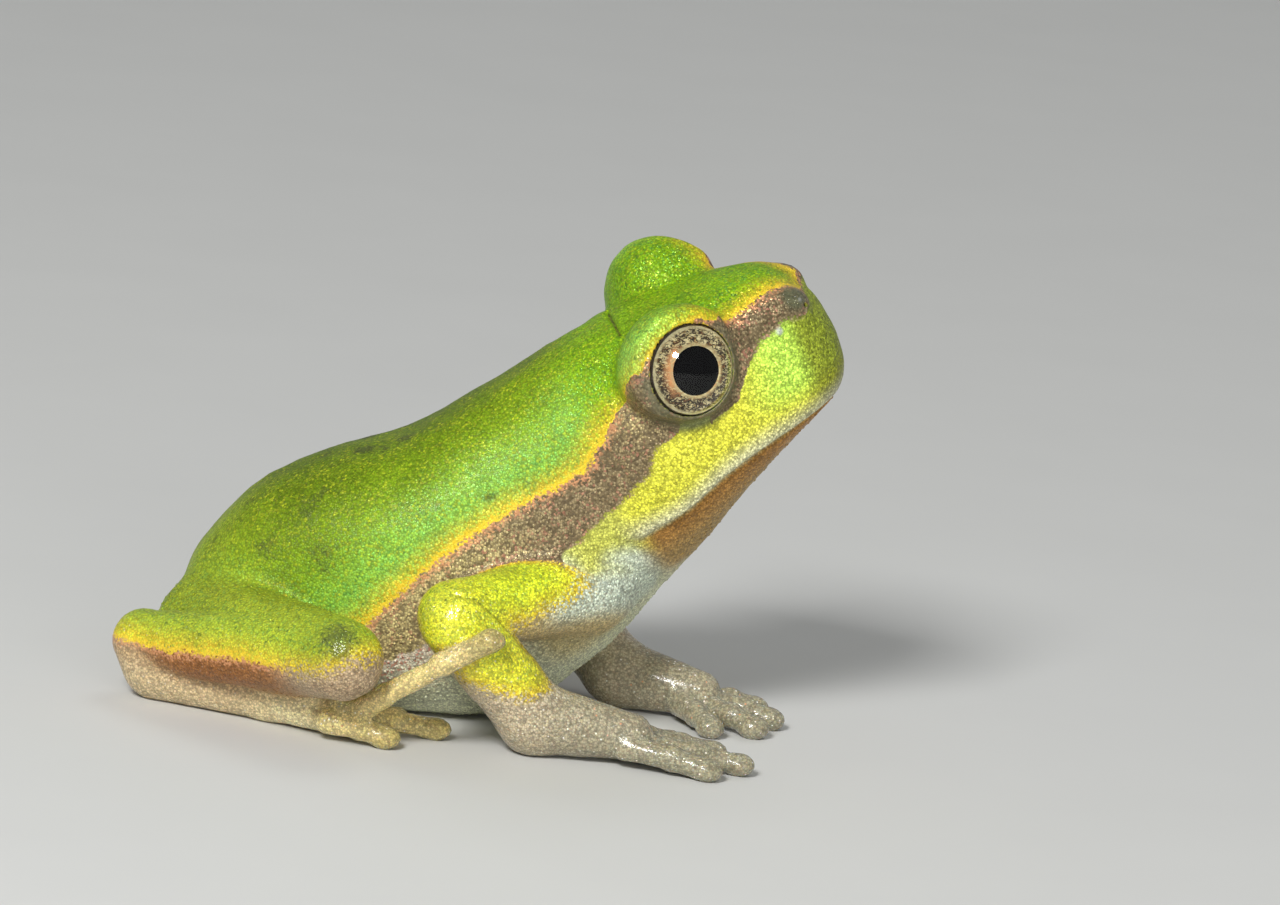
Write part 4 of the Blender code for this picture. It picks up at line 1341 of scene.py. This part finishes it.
def makeEye(side):
    back = arc(eyeball["ball"], 180.0, eyeball["limbus"], 26)
    profile = finer([*back, *eyeball["iris"], eyeball["lens"]], eyeball["gap"])
    ball = turned(f"eyeball_{side}", profile, side, eyeball["around"])
    ball.data.materials.append(eyeMaterials["iris"])
    ball.data.materials.append(eyeMaterials["pupil"])
    ring = ball.data.attributes["ring"].data
    for face in ball.data.polygons:
        face.material_index = int(max(ring[v].value for v in face.vertices) < eyeball["pupil"])
    front = arc(eyeball["front"], eyeball["frontEdge"], 0.0, 24)
    rear = [(radius, eyeball["back"]) for radius in (0.0, 0.5, 1.0)]
    clear = turned(f"cornea_{side}", rear + front, side, eyeball["around"])
    clear.data.materials.append(eyeMaterials["cornea"])
    clear.visible_shadow = False
    return ball, clear


skinPaint = skinMaterial()
skinPiece.data.materials.clear()
skinPiece.data.materials.append(skinPaint)
granulePiece = makeGranules(skinPiece.data, skinPaint)
eyeMaterials = {
    "iris": irisMaterial(),
    "pupil": plainMaterial("frog_pupil", {"Base Color": (0.0015, 0.0015, 0.0015), "Roughness": 1.0,
                                          "Specular IOR Level": 0.0}),
    "cornea": plainMaterial("frog_cornea", {"Base Color": (1.0, 1.0, 1.0), "Roughness": 0.0, "IOR": 1.376,
                                            "Transmission Weight": 1.0}),
}
eyes = {side: makeEye(side) for side in sides}
say("eyes made")

fleshNodes = [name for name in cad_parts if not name.startswith("eye_")]
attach(skinPiece, "root")
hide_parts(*fleshNodes)
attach(granulePiece, "root")
for side, (ball, clear) in eyes.items():
    for piece in (ball, clear):
        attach(piece, "root")
    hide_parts(f"eye_{side}")


# floor and light
stage = {
    "floor": 0.9,                  # metres
    "floorColour": (0.62, 0.62, 0.60),
    "sink": 0.00001,
    # name: strength in watts, size, where from: azimuth, elevation, distance
    "lights": {
        "key": (0.6, 0.06, -20.0, 38.0, 0.25),
        "fill": (0.37, 0.2, 22.0, 7.0, 0.3),
        "back": (0.12, 0.12, 160.0, 55.0, 0.28),
    },
    "aim": (1.0, 0.0, 5.0),        # what the lights point at
    "world": 0.26,
    "worldColour": (0.95, 0.98, 1.0),
}


def makeFloor():
    n = Nodes("studio_floor")
    colour = stage["floorColour"]
    clouded = n.mix(n.noise(n.place(), 6.0), colour, tuple(0.96 * c for c in colour))
    n.feed(n.shader, {"Base Color": clouded, "Roughness": 0.7})
    half = stage["floor"]
    mesh = bpy.data.meshes.new("floor")
    corners = [(-half, -half), (half, -half), (half, half), (-half, half)]
    mesh.from_pydata([(x, y, -stage["sink"]) for x, y in corners], [], [(0, 1, 2, 3)])
    mesh.materials.append(n.material)
    putIn("floor", mesh)


def makeLights():
    middle = toWorld(stage["aim"])
    for name, (power, size, azimuth, elevation, distance) in stage["lights"].items():
        lamp = bpy.data.lights.new(name, "AREA")
        lamp.energy, lamp.size = power, size
        piece = putIn(name, lamp)
        a, e = math.radians(azimuth), math.radians(elevation)
        away = Vector((math.sin(a) * math.cos(e), -math.cos(a) * math.cos(e), math.sin(e)))
        piece.location = middle + away * distance
        piece.rotation_euler = away.to_track_quat("Z", "Y").to_euler()
        piece.visible_glossy = name == "key"
    world = bpy.data.worlds.new("studio")
    world.use_nodes = True
    sky = world.node_tree.nodes["Background"].inputs
    sky["Color"].default_value = (*stage["worldColour"], 1.0)
    sky["Strength"].default_value = stage["world"]
    bpy.context.scene.world = world


view = {
    "elevation": 12.0,
    "tilt": 6.10228,
    "distance": 220.0,
    "width": 32.65,                # of what the frame holds, at that distance
    "target": (3.273, 0.0, 7.1),
    "sensor": 36.0,
}


def makeCamera():
    e, r = math.radians(view["elevation"]), math.radians(view["tilt"])
    ahead = Vector((0.0, math.cos(e), -math.sin(e)))
    up = Vector((0.0, math.sin(e), math.cos(e)))
    right = ahead.cross(up)
    right, up = right * math.cos(r) + up * math.sin(r), up * math.cos(r) - right * math.sin(r)
    lens = bpy.data.cameras.new("camera")
    lens.sensor_width = view["sensor"]
    lens.lens = view["sensor"] * view["distance"] / view["width"]
    lens.clip_start = mm
    camera = putIn("camera", lens)
    placed = Matrix((right, up, -ahead)).transposed().to_4x4()
    placed.translation = toWorld(view["target"]) - ahead * view["distance"] * mm
    camera.matrix_world = placed
    bpy.context.scene.camera = camera


makeFloor()
makeLights()
makeCamera()
bpy.context.scene.view_settings.view_transform = "Standard"

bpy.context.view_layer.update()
say("done")
